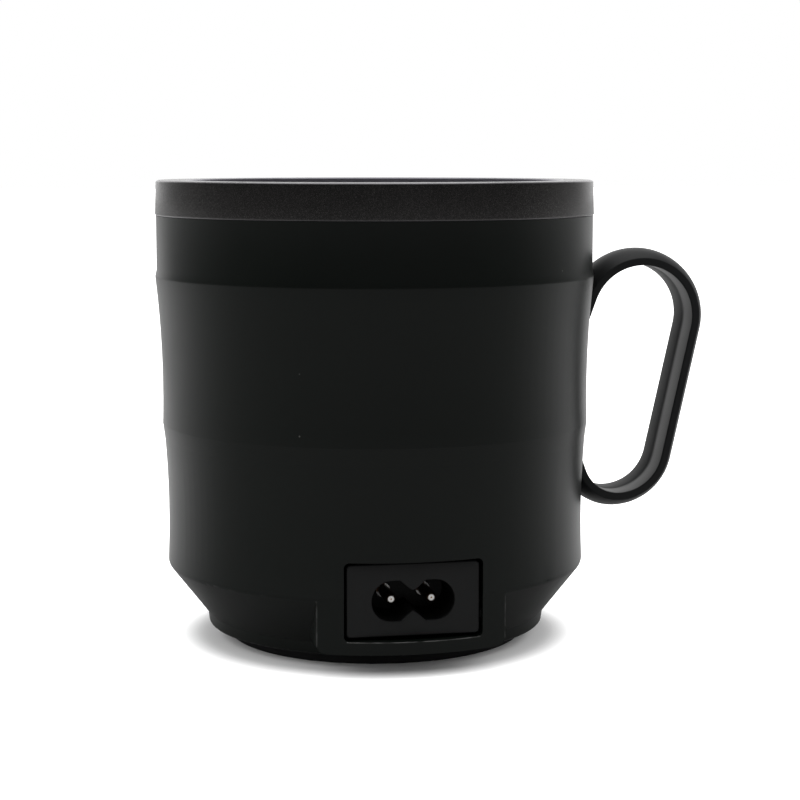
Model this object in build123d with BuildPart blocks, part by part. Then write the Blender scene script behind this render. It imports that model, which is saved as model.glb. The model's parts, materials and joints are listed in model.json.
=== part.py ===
"""Electric wax melting pot: banded casing, collar ring, strap handle, figure-8 inlet and lift-out pot.

Millimetres. The origin is on the pot's axis at the table, +Z up. The control panel faces -Y,
the mains inlet faces +Y and the handle stands out at -X.
"""
import os
from math import acos, atan2, degrees, hypot, radians, sqrt, tan

from build123d import *

os.makedirs("parts", exist_ok=True)

# Casing heights, from the table up
foot_height = 2.9
base_band_height = 2.8
taper_height = 11.3
lower_band_height = 28.0
step_height = 3.7
middle_band_height = 32.8
shoulder_height = 1.5
upper_band_height = 11.9
collar_height = 7.8

# Casing radii, all taken from the collar inwards
collar_radius = 49.1
collar_overhang = 0.22
ridge_proud = 0.34
middle_inset = 0.9
step_depth = 0.48
lower_draft = 0.35
base_inset = 8.8
base_draft = 0.35
middle_hollow = 0.6
lower_hollow = 0.45
wall = 2.2

# Rounds on the casing
foot_round = 0.7
taper_round = 2.0
step_round = 1.0
ridge_round = 1.5

# Collar ring
collar_draft = 0.3
collar_rim_width = 7.2
collar_top_round = 0.9
collar_edge_round = 0.5
rim_depth = 5.3
ledge_thickness = 2.0
ledge_clearance = 1.4
spigot_clearance = 0.18
spigot_width = 2.6
spigot_depth = 2.5
snap_depth = 0.3
snap_height = 0.8

# Heating well and what surrounds it
side_space = 7.2
wrap_thickness = 1.4
wrap_slack = 0.2
wrap_lift = 3.4
wrap_height = 54.0
wrap_slot = 10.0
heater_thickness = 1.0
heater_fit = 0.08
heater_lift = 5.4
heater_height = 24.0
heater_split = 3.0
lug_thickness = 1.0
lug_reach = 3.8
lug_lift = 7.0
lug_height = 8.0
terminal_height = 2.2
terminal_reach = 2.6
terminal_spacing = 6.0
terminal_thickness = 0.8
well_wall = 1.2
well_floor = 1.4
well_flange = 1.2
well_depth = 66.8
well_round = 3.0

# Lift-out pot and bail
pot_gap = 0.8
pot_wall = 1.0
pot_round = 4.0
pot_lip_round = 0.3
pot_seat_gap = 0.2
pot_floor_gap = 0.3
rim_thickness = 1.0
rim_clearance = 0.6
ear_thickness = 0.9
ear_width = 3.8
ear_offset = 0.2
bail_wire = 0.95
bail_fit = 0.07
bail_inset = 1.8
bail_rest_gap = 0.15
bail_bend = 1.2
bail_tip = 1.0

# Strap handle: how far its bends stand off the casing and below the band edges
strap_top_stand = 12.32
strap_top_drop = 10.1
strap_top_radius = 11.8
strap_foot_stand = 7.1
strap_foot_drop = 3.8
strap_foot_radius = 10.4
strap_heel_radius = 8.4
strap_root_bite = 1.5
strap_width = 13.6
strap_edge = 1.65
strap_crown = 2.15
strap_edge_round = 0.35
strap_groove_width = 2.2
strap_groove_depth = 0.16
strap_groove_slope = 0.4
root_angle = 160.0
peg_radius = 2.4
peg_fit = 0.1
peg_top_rise = 4.6
peg_foot_drop = 5.6
peg_bite = 0.6
peg_end_gap = 0.15
seat_radius = 3.7
seat_proud = 0.5
washer_radius = 3.2
washer_thickness = 0.8
handle_screw_radius = 0.95
handle_screw_head = 2.1
handle_screw_head_height = 1.4
handle_screw_bite = 1.0
pilot_fit = 0.02

# Inlet pad and window at the rear
pad_half_width = 20.2
pad_lift = 2.5
pad_inset = 0.25
pad_corner = 2.0
pad_overlap = 4.0
window_width = 29.5
window_height = 16.7
window_corner = 1.2
window_lift = 13.55
inlet_lift = 13.3

# Figure-8 appliance inlet
inlet_setback = 2.9
inlet_gap = 0.65
inlet_corner = 0.8
inlet_edge_round = 0.3
face_depth = 3.5
core_width = 21.6
core_height = 13.2
core_depth = 19.5
contact_spacing = 8.6
lobe_radius = 4.3
lobe_spacing = 9.0
notch_depth = 2.1
notch_half_width = 1.6
recess_depth = 12.5
contact_radius = 1.18
contact_setback = 2.2
contact_round = 0.9
contact_shank_radius = 0.9
contact_fit = 0.02
contact_collar_radius = 1.65
contact_collar_height = 0.9
contact_collar_round = 0.25
tail_length = 7.0
tail_width = 2.4
tail_thickness = 0.8
ear_plate_gap = 0.3
ear_plate_height = 6.0
ear_plate_thickness = 2.0
ear_plate_depth = 4.5
ear_plate_lift = 4.2
inlet_boss_radius = 1.95
inlet_boss_spread = 16.4
inlet_screw_radius = 0.8
inlet_screw_head = 1.5
inlet_screw_head_height = 1.1
inlet_screw_length = 4.6

# Control panel
panel_width = 29.0
panel_height = 27.4
panel_foot = 2.9
panel_corner = 3.0
panel_proud = 0.25
panel_thickness = 1.55
panel_gap = 0.12
panel_ledge = 2.3
window_pane_width = 19.6
window_pane_height = 9.6
window_pane_corner = 1.0
window_pane_lift = 14.5
pane_gap = 0.05
pane_depth = 1.75
key_radius = 2.7
key_gap = 0.1
key_proud = 0.35
key_round = 0.25
key_spacing = 7.6
key_lift = 5.8
key_flange = 0.5
key_flange_thickness = 0.6
key_flange_gap = 0.2
key_stem_radius = 1.7
key_travel = 0.35
panel_post_radius = 1.3
panel_post_spread = 10.4
panel_post_lift = 11.4

# Display board behind the panel
display_board_gap = 0.3
display_board_width = 24.0
display_board_height = 22.4
display_board_thickness = 1.0
display_board_lift = 2.4
module_width = 18.6
module_height = 8.6
module_thickness = 1.5
digit_count = 3
digit_width = 4.4
digit_height = 6.8
digit_depth = 0.2
switch_size = 4.4
switch_base = 0.4
dome_radius = 1.4
dome_height = 0.4
dome_gap = 0.1
display_screw_radius = 0.7
display_screw_head = 1.4
display_screw_head_height = 0.7
display_screw_bite = 1.2

# Base cover, foot and posts
cover_thickness = 2.2
cover_gap = 0.15
vent_count = 12
vent_length = 7.0
vent_width = 1.8
vent_inset = 13.5
post_radius = 3.2
post_inset = 10.5
post_count = 4
rib_thickness = 1.6
rib_margin = 2.0
pilot_radius = 1.25
base_screw_head = 2.4
base_screw_head_height = 1.1
base_screw_length = 9.0
screw_head_gap = 0.3
foot_width = 5.0
foot_inset = 2.0
foot_edge_round = 0.8

# Heat shield, sensor and thermal fuse under the well
shield_gap = 4.8
shield_thickness = 0.8
shield_margin = 8.0
shield_vent_count = 8
shield_vent_radius = 2.0
shield_vent_inset = 5.5
shield_screw_head = 2.4
shield_screw_head_height = 1.2
shield_screw_length = 6.0
sensor_radius = 2.5
sensor_height = 2.2
clip_thickness = 0.4
clip_width = 6.0
clip_half_span = 12.0
clip_foot = 4.0
clip_flat = 4.0
clip_bend = 1.0
fuse_radius = 2.0
fuse_length = 11.0
fuse_offset = 14.0
fuse_strap_thickness = 0.6
fuse_strap_width = 5.0
fuse_strap_foot = 3.4

# Power board and its parts
board_width = 31.2
board_length = 50.0
board_forward = 4.0
board_thickness = 1.6
board_lift = 3.9
board_post_radius = 2.5
board_post_inset = 2.8
board_screw_radius = 1.0
board_screw_head = 2.2
board_screw_head_height = 1.4
relay_size = (12.0, 10.0, 10.0)
relay_inset = (7.1, 16.0)
transformer_size = (13.0, 12.0, 10.5)
transformer_inset = (8.1, 17.0)
core_proud = 1.0
capacitor_radius = 4.0
capacitor_height = 10.0
capacitor_inset = (4.8, 9.5)
cartridge_radius = 2.5
cartridge_length = 13.0
cartridge_inset = (5.1, 12.5)
cartridge_cap = 3.0
cartridge_cap_proud = 0.3
mains_block_size = (15.0, 7.0, 7.0)
mains_block_inset = 19.5
heater_block_size = (5.2, 8.4, 6.0)
heater_block_inset = 0.6
socket_size = (8.0, 5.0, 4.0)
lead_entry = 2.8

# Leads
mains_lead_radius = 0.9
heater_lead_radius = 0.8
cable_width = 6.0
cable_thickness = 0.6
cable_run = 8.0
cable_bend = 5.0

# Levels worked out from the heights
base_band_top = foot_height + base_band_height
taper_top = base_band_top + taper_height
lower_band_top = taper_top + lower_band_height
middle_band_foot = lower_band_top + step_height
ridge_level = middle_band_foot + middle_band_height
shoulder_top = ridge_level + shoulder_height
casing_top = shoulder_top + upper_band_height
collar_top = casing_top + collar_height
rim_seat = collar_top - rim_depth
well_top = rim_seat - ledge_thickness
well_bottom = well_top - well_depth
flange_seat = well_top - well_flange
shield_top = well_bottom - shield_gap
post_top = shield_top - shield_thickness
cover_top = foot_height + cover_thickness
board_bottom = cover_top + board_lift
board_top = board_bottom + board_thickness
inlet_height = foot_height + inlet_lift
window_middle = foot_height + window_lift

# Radii worked out from the collar inwards
casing_radius = collar_radius - collar_overhang
ridge_radius = casing_radius + ridge_proud
middle_foot_radius = casing_radius - middle_inset
lower_top_radius = middle_foot_radius - step_depth
lower_foot_radius = lower_top_radius - lower_draft
base_top_radius = lower_foot_radius - base_inset
base_radius = base_top_radius - base_draft
casing_bore = casing_radius - wall
collar_mouth = collar_radius - collar_rim_width
wrap_radius = casing_radius - side_space
wrap_bore = wrap_radius - wrap_thickness
heater_radius = wrap_bore - wrap_slack
heater_bore = heater_radius - heater_thickness
well_radius = heater_bore - heater_fit
well_bore = well_radius - well_wall
pot_radius = well_bore - pot_gap
pot_bore = pot_radius - pot_wall
spigot_radius = casing_bore - spigot_clearance
spigot_bore = spigot_radius - spigot_width
upstand_radius = spigot_bore - spigot_clearance
pot_rim_radius = collar_mouth - rim_clearance
pot_rim_foot = rim_seat + pot_seat_gap
pot_rim_top = pot_rim_foot + rim_thickness
pot_bottom = well_bottom + well_floor + pot_floor_gap
pad_radius = lower_foot_radius - pad_inset
post_circle = base_radius - post_inset
vent_circle = post_circle - vent_inset
shield_radius = post_circle + shield_margin
shield_vent_circle = post_circle - shield_vent_inset

# Places on the power board, from its own edges
board_shift = -board_forward
board_front = board_shift - board_length / 2
board_rear = board_shift + board_length / 2
board_post_spread_x = board_width - 2 * board_post_inset
board_post_spread_y = board_length - 2 * board_post_inset
relay_place = (board_width / 2 - relay_inset[0], board_front + relay_inset[1])
transformer_place = (transformer_inset[0] - board_width / 2, board_front + transformer_inset[1])
capacitor_place = (board_width / 2 - capacitor_inset[0], board_rear - capacitor_inset[1])
cartridge_place = (cartridge_inset[0] - board_width / 2, board_rear - cartridge_inset[1])
mains_block_place = (0, board_rear - mains_block_inset)

# Places on the strap, from the casing
strap_top_reach = casing_radius + strap_top_stand
strap_top_height = ridge_level - strap_top_drop
strap_foot_reach = casing_radius + strap_foot_stand
strap_foot_height = lower_band_top - strap_foot_drop
peg_heights = (strap_top_height + peg_top_rise, strap_foot_height - peg_foot_drop)

TOP, BOTTOM, MIDDLE = Align.MAX, Align.MIN, Align.CENTER
ON_FLOOR = (MIDDLE, MIDDLE, BOTTOM)


def facing_rear(y=0.0, z=0.0):
    """Upright plane across the pot that looks to the rear; its x runs to -X, its y is up."""
    return Plane(origin=(0, y, z), x_dir=(-1, 0, 0), z_dir=(0, 1, 0))


def facing_front(y=0.0, z=0.0):
    """Upright plane across the pot that looks to the front; its x runs to +X, its y is up."""
    return Plane(origin=(0, y, z), x_dir=(1, 0, 0), z_dir=(0, -1, 0))


def facing_handle(x=0.0, z=0.0):
    """Upright plane square to the handle's direction; its y is up."""
    return Plane(origin=(x, 0, z), x_dir=(0, -1, 0), z_dir=(-1, 0, 0))


def band_radius(height):
    """Outer radius of the middle or lower band at a height, as a shallow parabola."""
    if height > middle_band_foot:
        low, high = middle_band_foot, ridge_level
        foot, head, hollow = middle_foot_radius, ridge_radius, middle_hollow
    else:
        low, high = taper_top, lower_band_top
        foot, head, hollow = lower_foot_radius, lower_top_radius, lower_hollow
    share = (height - low) / (high - low)
    return foot + (head - foot) * share - 4 * hollow * share * (1 - share)


def casing_half(inset, bottom, top):
    """Half section of the casing moved in by inset, from the axis out, between two levels."""
    lower_middle = (taper_top + lower_band_top) / 2
    middle_middle = (middle_band_foot + ridge_level) / 2
    foot_corner = (base_radius - inset, bottom)
    taper_corner = (lower_foot_radius - inset, taper_top)
    step_low = (lower_top_radius - inset, lower_band_top)
    step_high = (middle_foot_radius - inset, middle_band_foot)
    ridge_corner = (ridge_radius - inset, ridge_level)
    with BuildSketch(Plane.XZ) as half:
        with BuildLine():
            Polyline((0, bottom), foot_corner, (base_top_radius - inset, base_band_top), taper_corner)
            ThreePointArc(taper_corner, (band_radius(lower_middle) - inset, lower_middle), step_low)
            Line(step_low, step_high)
            ThreePointArc(step_high, (band_radius(middle_middle) - inset, middle_middle), ridge_corner)
            Polyline(ridge_corner, (casing_radius - inset, shoulder_top), (casing_radius - inset, top),
                     (0, top), (0, bottom))
        make_face()
        corners = half.vertices()
        fillet(corners.sort_by_distance(taper_corner)[0], radius=taper_round)
        fillet(half.vertices().sort_by_distance(step_low)[0], radius=step_round)
        fillet(half.vertices().sort_by_distance(step_high)[0], radius=step_round)
        fillet(half.vertices().sort_by_distance(ridge_corner)[0], radius=ridge_round)
        if not inset:
            fillet(half.vertices().sort_by_distance(foot_corner)[0], radius=foot_round)
    return half.sketch


def band_skin(outer, inner):
    """Half section of a skin that follows the middle band, between two offsets from its surface."""
    middle = (middle_band_foot + ridge_level) / 2
    with BuildSketch(Plane.XZ) as half:
        with BuildLine():
            ThreePointArc((middle_foot_radius + outer, middle_band_foot),
                          (band_radius(middle) + outer, middle), (ridge_radius + outer, ridge_level))
            Line((ridge_radius + outer, ridge_level), (ridge_radius + inner, ridge_level))
            ThreePointArc((ridge_radius + inner, ridge_level), (band_radius(middle) + inner, middle),
                          (middle_foot_radius + inner, middle_band_foot))
            Line((middle_foot_radius + inner, middle_band_foot), (middle_foot_radius + outer, middle_band_foot))
        make_face()
    return half.sketch


def pad_outline(inset):
    """Rear outline of the inlet pad moved in by inset, seen from behind."""
    low = foot_height + pad_lift + inset
    high = taper_top + pad_overlap
    with BuildSketch(facing_rear()) as outline:
        with Locations((0, low)):
            Rectangle(2 * (pad_half_width - inset), high - low, align=(MIDDLE, BOTTOM))
        fillet(outline.vertices().group_by(Axis.Y)[0], radius=pad_corner)
    return outline.sketch


def save(piece, label):
    """Labels a finished piece and writes it."""
    piece.label = label
    export_step(piece, f"parts/{label}.step")


# Casing blanks: the outer form and the hollow in it, each with the inlet pad
with BuildPart() as casing_core:
    revolve(casing_half(0, foot_height, casing_top), axis=Axis.Z)
with BuildPart() as pad_core:
    with Locations((0, 0, foot_height + pad_lift)):
        Cylinder(pad_radius, taper_top + pad_overlap - foot_height - pad_lift, align=ON_FLOOR)
    extrude(pad_outline(0), amount=collar_radius, mode=Mode.INTERSECT)
with BuildPart() as casing_hollow:
    revolve(casing_half(wall, foot_height, casing_top), axis=Axis.Z)
with BuildPart() as pad_hollow:
    with Locations((0, 0, foot_height)):
        Cylinder(pad_radius - wall, taper_top + pad_overlap - foot_height, align=ON_FLOOR)
    extrude(pad_outline(wall), amount=collar_radius, mode=Mode.INTERSECT)

# Posts that take the base screws from below and the shield screws from above
post_angle = 360 / post_count / 2
with BuildPart() as posts:
    with Locations((0, 0, cover_top)):
        with PolarLocations(post_circle, post_count, start_angle=post_angle):
            Cylinder(post_radius, post_top - cover_top, align=ON_FLOOR)
    with Locations((0, 0, cover_top + rib_margin)):
        with PolarLocations(post_circle, post_count, start_angle=post_angle):
            Box(casing_radius - post_circle, rib_thickness, post_top - cover_top - 2 * rib_margin,
                align=(BOTTOM, MIDDLE, BOTTOM))
    add(casing_core.part, mode=Mode.INTERSECT)
    with Locations((0, 0, post_top)):
        with PolarLocations(post_circle, post_count, start_angle=post_angle):
            Hole(pilot_radius, depth=post_top - cover_top)

# Places of the control panel and of the inlet
panel_bottom = middle_band_foot + panel_foot
panel_middle = panel_bottom + panel_height / 2
panel_sink = panel_thickness - panel_proud
inlet_face = pad_radius - inlet_setback
ear_face = inlet_face - ear_plate_depth
ear_plate_middle = foot_height + pad_lift + ear_plate_lift + ear_plate_height / 2
ear_plate_width = 2 * (pad_half_width - wall - ear_plate_gap)
inlet_boss_end = sqrt((pad_radius - wall / 2) ** 2 - inlet_boss_spread ** 2)

with BuildPart() as panel_recess:
    revolve(band_skin(collar_overhang + panel_proud, -panel_sink), axis=Axis.Z)
    with BuildSketch(facing_front()):
        with Locations((0, panel_middle)):
            RectangleRounded(panel_width + 2 * panel_gap, panel_height + 2 * panel_gap,
                             panel_corner + panel_gap)
    extrude(amount=2 * collar_radius, mode=Mode.INTERSECT)

with BuildPart() as body_shell:
    add(casing_core.part)
    add(pad_core.part)
    add(casing_hollow.part, mode=Mode.SUBTRACT)
    add(pad_hollow.part, mode=Mode.SUBTRACT)
    add(posts.part)
    # Ledge that carries the well's flange, with the groove for the collar's spigot
    with BuildSketch(Plane.XZ):
        with BuildLine():
            Polyline((casing_bore + wall / 2, flange_seat - 2 * ledge_thickness - spigot_width),
                     (casing_bore - wall / 2, flange_seat - 2 * ledge_thickness - spigot_width),
                     (well_radius + ledge_clearance, flange_seat - 2 * ledge_thickness),
                     (well_radius + ledge_clearance, flange_seat), (upstand_radius, flange_seat),
                     (upstand_radius, casing_top - spigot_depth - spigot_clearance),
                     (casing_bore + wall / 2, casing_top - spigot_depth - spigot_clearance), close=True)
        make_face()
    revolve(axis=Axis.Z)
    # Snap groove for the collar's bead
    with BuildSketch(Plane.XZ):
        with Locations((casing_bore, casing_top - spigot_depth / 2)):
            Rectangle(2 * snap_depth, snap_height + 2 * spigot_clearance)
    revolve(axis=Axis.Z, mode=Mode.SUBTRACT)
    # Flat seats inside for the handle's washers, and the peg holes
    for height in peg_heights:
        inner = band_radius(height) - wall
        with BuildSketch(facing_handle(-(inner - seat_proud), height)):
            Circle(seat_radius)
        extrude(amount=seat_proud + wall / 2)
        with BuildSketch(facing_handle(-(inner - 2 * seat_proud), height)):
            Circle(peg_radius + peg_fit)
        extrude(amount=2 * wall + 2 * seat_proud, mode=Mode.SUBTRACT)
    # Window for the inlet, and the bosses that its ears screw to
    with BuildSketch(facing_rear(ear_face - ear_plate_thickness, window_middle)):
        RectangleRounded(window_width, window_height, window_corner)
    extrude(amount=collar_radius, mode=Mode.SUBTRACT)
    with BuildSketch(facing_rear(ear_face)):
        with Locations((-inlet_boss_spread, ear_plate_middle), (inlet_boss_spread, ear_plate_middle)):
            Circle(inlet_boss_radius)
    extrude(amount=inlet_boss_end - ear_face)
    with BuildSketch(facing_rear(ear_face)):
        with Locations((-inlet_boss_spread, ear_plate_middle), (inlet_boss_spread, ear_plate_middle)):
            Circle(inlet_screw_radius + pilot_fit)
    extrude(amount=inlet_screw_length - ear_plate_thickness + pilot_fit, mode=Mode.SUBTRACT)
    # Shallow recess for the control panel, and the opening behind it
    add(panel_recess.part, mode=Mode.SUBTRACT)
    with BuildSketch(facing_front(-collar_mouth)):
        with Locations((0, panel_middle)):
            RectangleRounded(panel_width - 2 * panel_ledge, panel_height - 2 * panel_ledge,
                             panel_corner - panel_ledge / 2)
    extrude(amount=collar_rim_width, mode=Mode.SUBTRACT)
save(body_shell.part, "body_shell")

# Collar ring: rim, ledge for the pot, and a spigot with a snap bead into the casing
bead_level = casing_top - spigot_depth / 2
with BuildPart() as collar_ring:
    with BuildSketch(Plane.XZ) as collar_section:
        with BuildLine():
            Polyline((collar_radius, casing_top), (collar_radius - collar_draft, collar_top),
                     (collar_mouth, collar_top), (collar_mouth, rim_seat),
                     (pot_radius + ledge_clearance, rim_seat), (pot_radius + ledge_clearance, well_top),
                     (spigot_bore, well_top), (spigot_bore, casing_top - spigot_depth),
                     (spigot_radius, casing_top - spigot_depth),
                     (spigot_radius, bead_level - snap_height / 2), (spigot_radius + snap_depth, bead_level),
                     (spigot_radius, bead_level + snap_height / 2), (spigot_radius, casing_top), close=True)
        make_face()
        fillet(collar_section.vertices().sort_by_distance((collar_radius - collar_draft, collar_top))[0],
               radius=collar_top_round)
        fillet(collar_section.vertices().sort_by_distance((collar_mouth, collar_top))[0],
               radius=collar_edge_round)
        fillet(collar_section.vertices().sort_by_distance((collar_radius, casing_top))[0],
               radius=collar_edge_round)
    revolve(axis=Axis.Z)
save(collar_ring.part, "collar_ring")

# Strap handle: a D section carried round two bends, with a fine groove down its inner face
centre_gap = hypot(strap_foot_reach - strap_top_reach, strap_foot_height - strap_top_height)
centre_line = atan2(strap_foot_height - strap_top_height, strap_foot_reach - strap_top_reach)
strut_angle = degrees(centre_line + acos((strap_top_radius - strap_foot_radius) / centre_gap))
heel_height = strap_foot_height - strap_foot_radius + strap_heel_radius
root_slope = -1 / tan(radians(root_angle))
half_strap = strap_width / 2
half_groove = strap_groove_width / 2
with BuildPart() as handle_strap:
    with BuildLine(facing_rear()):
        top_bend = CenterArc((strap_top_reach, strap_top_height), strap_top_radius, root_angle,
                             strut_angle - root_angle)
        foot_bend = CenterArc((strap_foot_reach, strap_foot_height), strap_foot_radius, strut_angle,
                              -90 - strut_angle)
        heel_bend = CenterArc((strap_foot_reach, heel_height), strap_heel_radius, -90, 90 - root_angle)
        Line(top_bend @ 1, foot_bend @ 0)
        top_start = facing_rear().to_local_coords(top_bend @ 0)
        heel_end = facing_rear().to_local_coords(heel_bend @ 1)
        top_run = top_start.X - (casing_radius - strap_root_bite)
        heel_run = heel_end.X - (lower_foot_radius - strap_root_bite)
        root = Line((top_start.X - top_run, top_start.Y - top_run * root_slope), (top_start.X, top_start.Y))
        Line((heel_end.X, heel_end.Y), (heel_end.X - heel_run, heel_end.Y + heel_run * root_slope))
    with BuildSketch(Plane(origin=root @ 0, x_dir=(0, -1, 0), z_dir=root % 0)) as strap_section:
        with BuildLine():
            Polyline((half_strap, strap_edge), (half_strap, 0), (half_groove, 0),
                     (half_groove - strap_groove_slope, strap_groove_depth),
                     (strap_groove_slope - half_groove, strap_groove_depth), (-half_groove, 0),
                     (-half_strap, 0), (-half_strap, strap_edge))
            ThreePointArc((-half_strap, strap_edge), (0, strap_edge + strap_crown), (half_strap, strap_edge))
        make_face()
        sides = strap_section.vertices().group_by(Axis.X)
        fillet(sides[0] + sides[-1], radius=strap_edge_round)
    sweep()
    add(casing_core.part, mode=Mode.SUBTRACT)
    for height in peg_heights:
        outer = band_radius(height)
        seat = outer - wall - seat_proud
        with BuildSketch(facing_handle(-(seat + peg_end_gap), height)):
            Circle(peg_radius)
        extrude(amount=outer + peg_bite - seat - peg_end_gap)
        with BuildSketch(facing_handle(-seat, height)):
            Circle(handle_screw_radius + pilot_fit)
        extrude(amount=outer + handle_screw_bite + pilot_fit - seat, mode=Mode.SUBTRACT)
save(handle_strap.part, "handle_strap")

with BuildPart() as handle_washers:
    for height in peg_heights:
        seat = band_radius(height) - wall - seat_proud
        with BuildSketch(facing_handle(-(seat - washer_thickness), height)):
            Circle(washer_radius)
            Circle(handle_screw_radius + peg_fit, mode=Mode.SUBTRACT)
        extrude(amount=washer_thickness)
save(handle_washers.part, "handle_washers")

with BuildPart() as handle_screws:
    for height in peg_heights:
        outer = band_radius(height)
        under_head = outer - wall - seat_proud - washer_thickness
        with BuildSketch(facing_handle(-(under_head - handle_screw_head_height), height)):
            Circle(handle_screw_head)
        extrude(amount=handle_screw_head_height)
        with BuildSketch(facing_handle(-under_head, height)):
            Circle(handle_screw_radius)
        extrude(amount=outer + handle_screw_bite - under_head)
save(handle_screws.part, "handle_screws")

# Appliance inlet: face plate, core with the figure-8 recess, and screw ears
core_back = inlet_face - core_depth
recess_floor = inlet_face - recess_depth
contact_foot = recess_floor + contact_collar_height
contact_half = contact_spacing / 2
with BuildPart() as inlet_housing:
    with BuildSketch(facing_rear(inlet_face - face_depth, window_middle)):
        RectangleRounded(window_width - 2 * inlet_gap, window_height - 2 * inlet_gap, inlet_corner)
    extrude(amount=face_depth)
    fillet(inlet_housing.faces().sort_by(Axis.Y)[-1].edges(), radius=inlet_edge_round)
    with BuildSketch(facing_rear(core_back, inlet_height)):
        RectangleRounded(core_width, core_height, inlet_corner)
    extrude(amount=core_depth - face_depth)
    with BuildSketch(facing_rear(ear_face - ear_plate_thickness, ear_plate_middle)):
        RectangleRounded(ear_plate_width, ear_plate_height, inlet_corner)
        with Locations((-inlet_boss_spread, 0), (inlet_boss_spread, 0)):
            Circle(inlet_screw_radius + peg_fit, mode=Mode.SUBTRACT)
    extrude(amount=ear_plate_thickness)
    with BuildSketch(facing_rear(recess_floor, inlet_height)):
        SlotCenterToCenter(lobe_spacing, 2 * lobe_radius)
        for side in (-1, 1):
            with BuildLine():
                Polyline((-notch_half_width, side * lobe_radius), (0, side * (lobe_radius - notch_depth)),
                         (notch_half_width, side * lobe_radius), close=True)
            make_face(mode=Mode.SUBTRACT)
    extrude(amount=recess_depth, mode=Mode.SUBTRACT)
    # Low collars round the feet of the pins, and the bores for the pins' shanks
    for side in (-1, 1):
        with BuildSketch(facing_rear(recess_floor, inlet_height)):
            with Locations((side * contact_half, 0)):
                Circle(contact_collar_radius)
        extrude(amount=contact_collar_height)
        collar_edges = inlet_housing.edges(Select.LAST).filter_by(GeomType.CIRCLE).sort_by(Axis.Y)
        fillet(collar_edges[-1], radius=contact_collar_round)
        with BuildSketch(facing_rear(core_back, inlet_height)):
            with Locations((side * contact_half, 0)):
                Circle(contact_shank_radius + contact_fit)
        extrude(amount=contact_foot - core_back, mode=Mode.SUBTRACT)
save(inlet_housing.part, "inlet_housing")

for side, label in ((-1, "inlet_pin_left"), (1, "inlet_pin_right")):
    with BuildPart() as inlet_pin:
        with BuildSketch(facing_rear(contact_foot, inlet_height)):
            with Locations((side * contact_half, 0)):
                Circle(contact_radius)
        extrude(amount=inlet_face - contact_setback - contact_foot)
        fillet(inlet_pin.faces().sort_by(Axis.Y)[-1].edges(), radius=contact_round)
        with BuildSketch(facing_rear(core_back, inlet_height)):
            with Locations((side * contact_half, 0)):
                Circle(contact_shank_radius)
        extrude(amount=contact_foot - core_back)
        with BuildSketch(facing_rear(core_back - tail_length, inlet_height)):
            with Locations((side * contact_half, 0)):
                Rectangle(tail_thickness, tail_width)
        extrude(amount=tail_length)
    save(inlet_pin.part, label)

with BuildPart() as inlet_screws:
    for side in (-1, 1):
        with BuildSketch(facing_rear(ear_face - ear_plate_thickness, ear_plate_middle)):
            with Locations((side * inlet_boss_spread, 0)):
                Circle(inlet_screw_radius)
        extrude(amount=inlet_screw_length)
        with BuildSketch(facing_rear(ear_face - ear_plate_thickness - inlet_screw_head_height, ear_plate_middle)):
            with Locations((side * inlet_boss_spread, 0)):
                Circle(inlet_screw_head)
        extrude(amount=inlet_screw_head_height)
save(inlet_screws.part, "inlet_screws")

# Base cover with vents and the board's posts
cover_radius = base_radius - wall - cover_gap
board_post_places = GridLocations(board_post_spread_x, board_post_spread_y, 2, 2).locations
with BuildPart() as base_cover:
    with Locations((0, 0, foot_height)):
        Cylinder(cover_radius, cover_thickness, align=ON_FLOOR)
    with Locations((0, board_shift, cover_top)):
        with GridLocations(board_post_spread_x, board_post_spread_y, 2, 2):
            Cylinder(board_post_radius, board_lift, align=ON_FLOOR)
    with Locations((0, board_shift, board_bottom)):
        with GridLocations(board_post_spread_x, board_post_spread_y, 2, 2):
            Hole(board_screw_radius, depth=board_lift)
    with BuildSketch(Plane.XY.offset(foot_height)):
        with PolarLocations(vent_circle, vent_count):
            SlotOverall(vent_length, vent_width)
    extrude(amount=cover_thickness, mode=Mode.SUBTRACT)
    with BuildSketch(Plane.XY.offset(foot_height)):
        with PolarLocations(post_circle, post_count, start_angle=post_angle):
            Circle(pilot_radius + peg_fit)
    extrude(amount=cover_thickness, mode=Mode.SUBTRACT)
    with BuildSketch(Plane.XY.offset(foot_height)):
        with PolarLocations(post_circle, post_count, start_angle=post_angle):
            Circle(base_screw_head + screw_head_gap)
    extrude(amount=base_screw_head_height, mode=Mode.SUBTRACT)
save(base_cover.part, "base_cover")

with BuildPart() as base_screws:
    with BuildSketch(Plane.XY.offset(foot_height)):
        with PolarLocations(post_circle, post_count, start_angle=post_angle):
            Circle(base_screw_head)
    extrude(amount=base_screw_head_height)
    with BuildSketch(Plane.XY.offset(foot_height)):
        with PolarLocations(post_circle, post_count, start_angle=post_angle):
            Circle(pilot_radius - pilot_fit)
    extrude(amount=base_screw_length)
save(base_screws.part, "base_screws")

foot_radius = base_radius - foot_inset
with BuildPart() as foot_ring:
    Cylinder(foot_radius, foot_height, align=ON_FLOOR)
    Cylinder(foot_radius - foot_width, foot_height, align=ON_FLOOR, mode=Mode.SUBTRACT)
    fillet(foot_ring.edges().group_by(Axis.Z)[0].sort_by(SortBy.RADIUS)[-1], radius=foot_edge_round)
save(foot_ring.part, "foot_ring")

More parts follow.
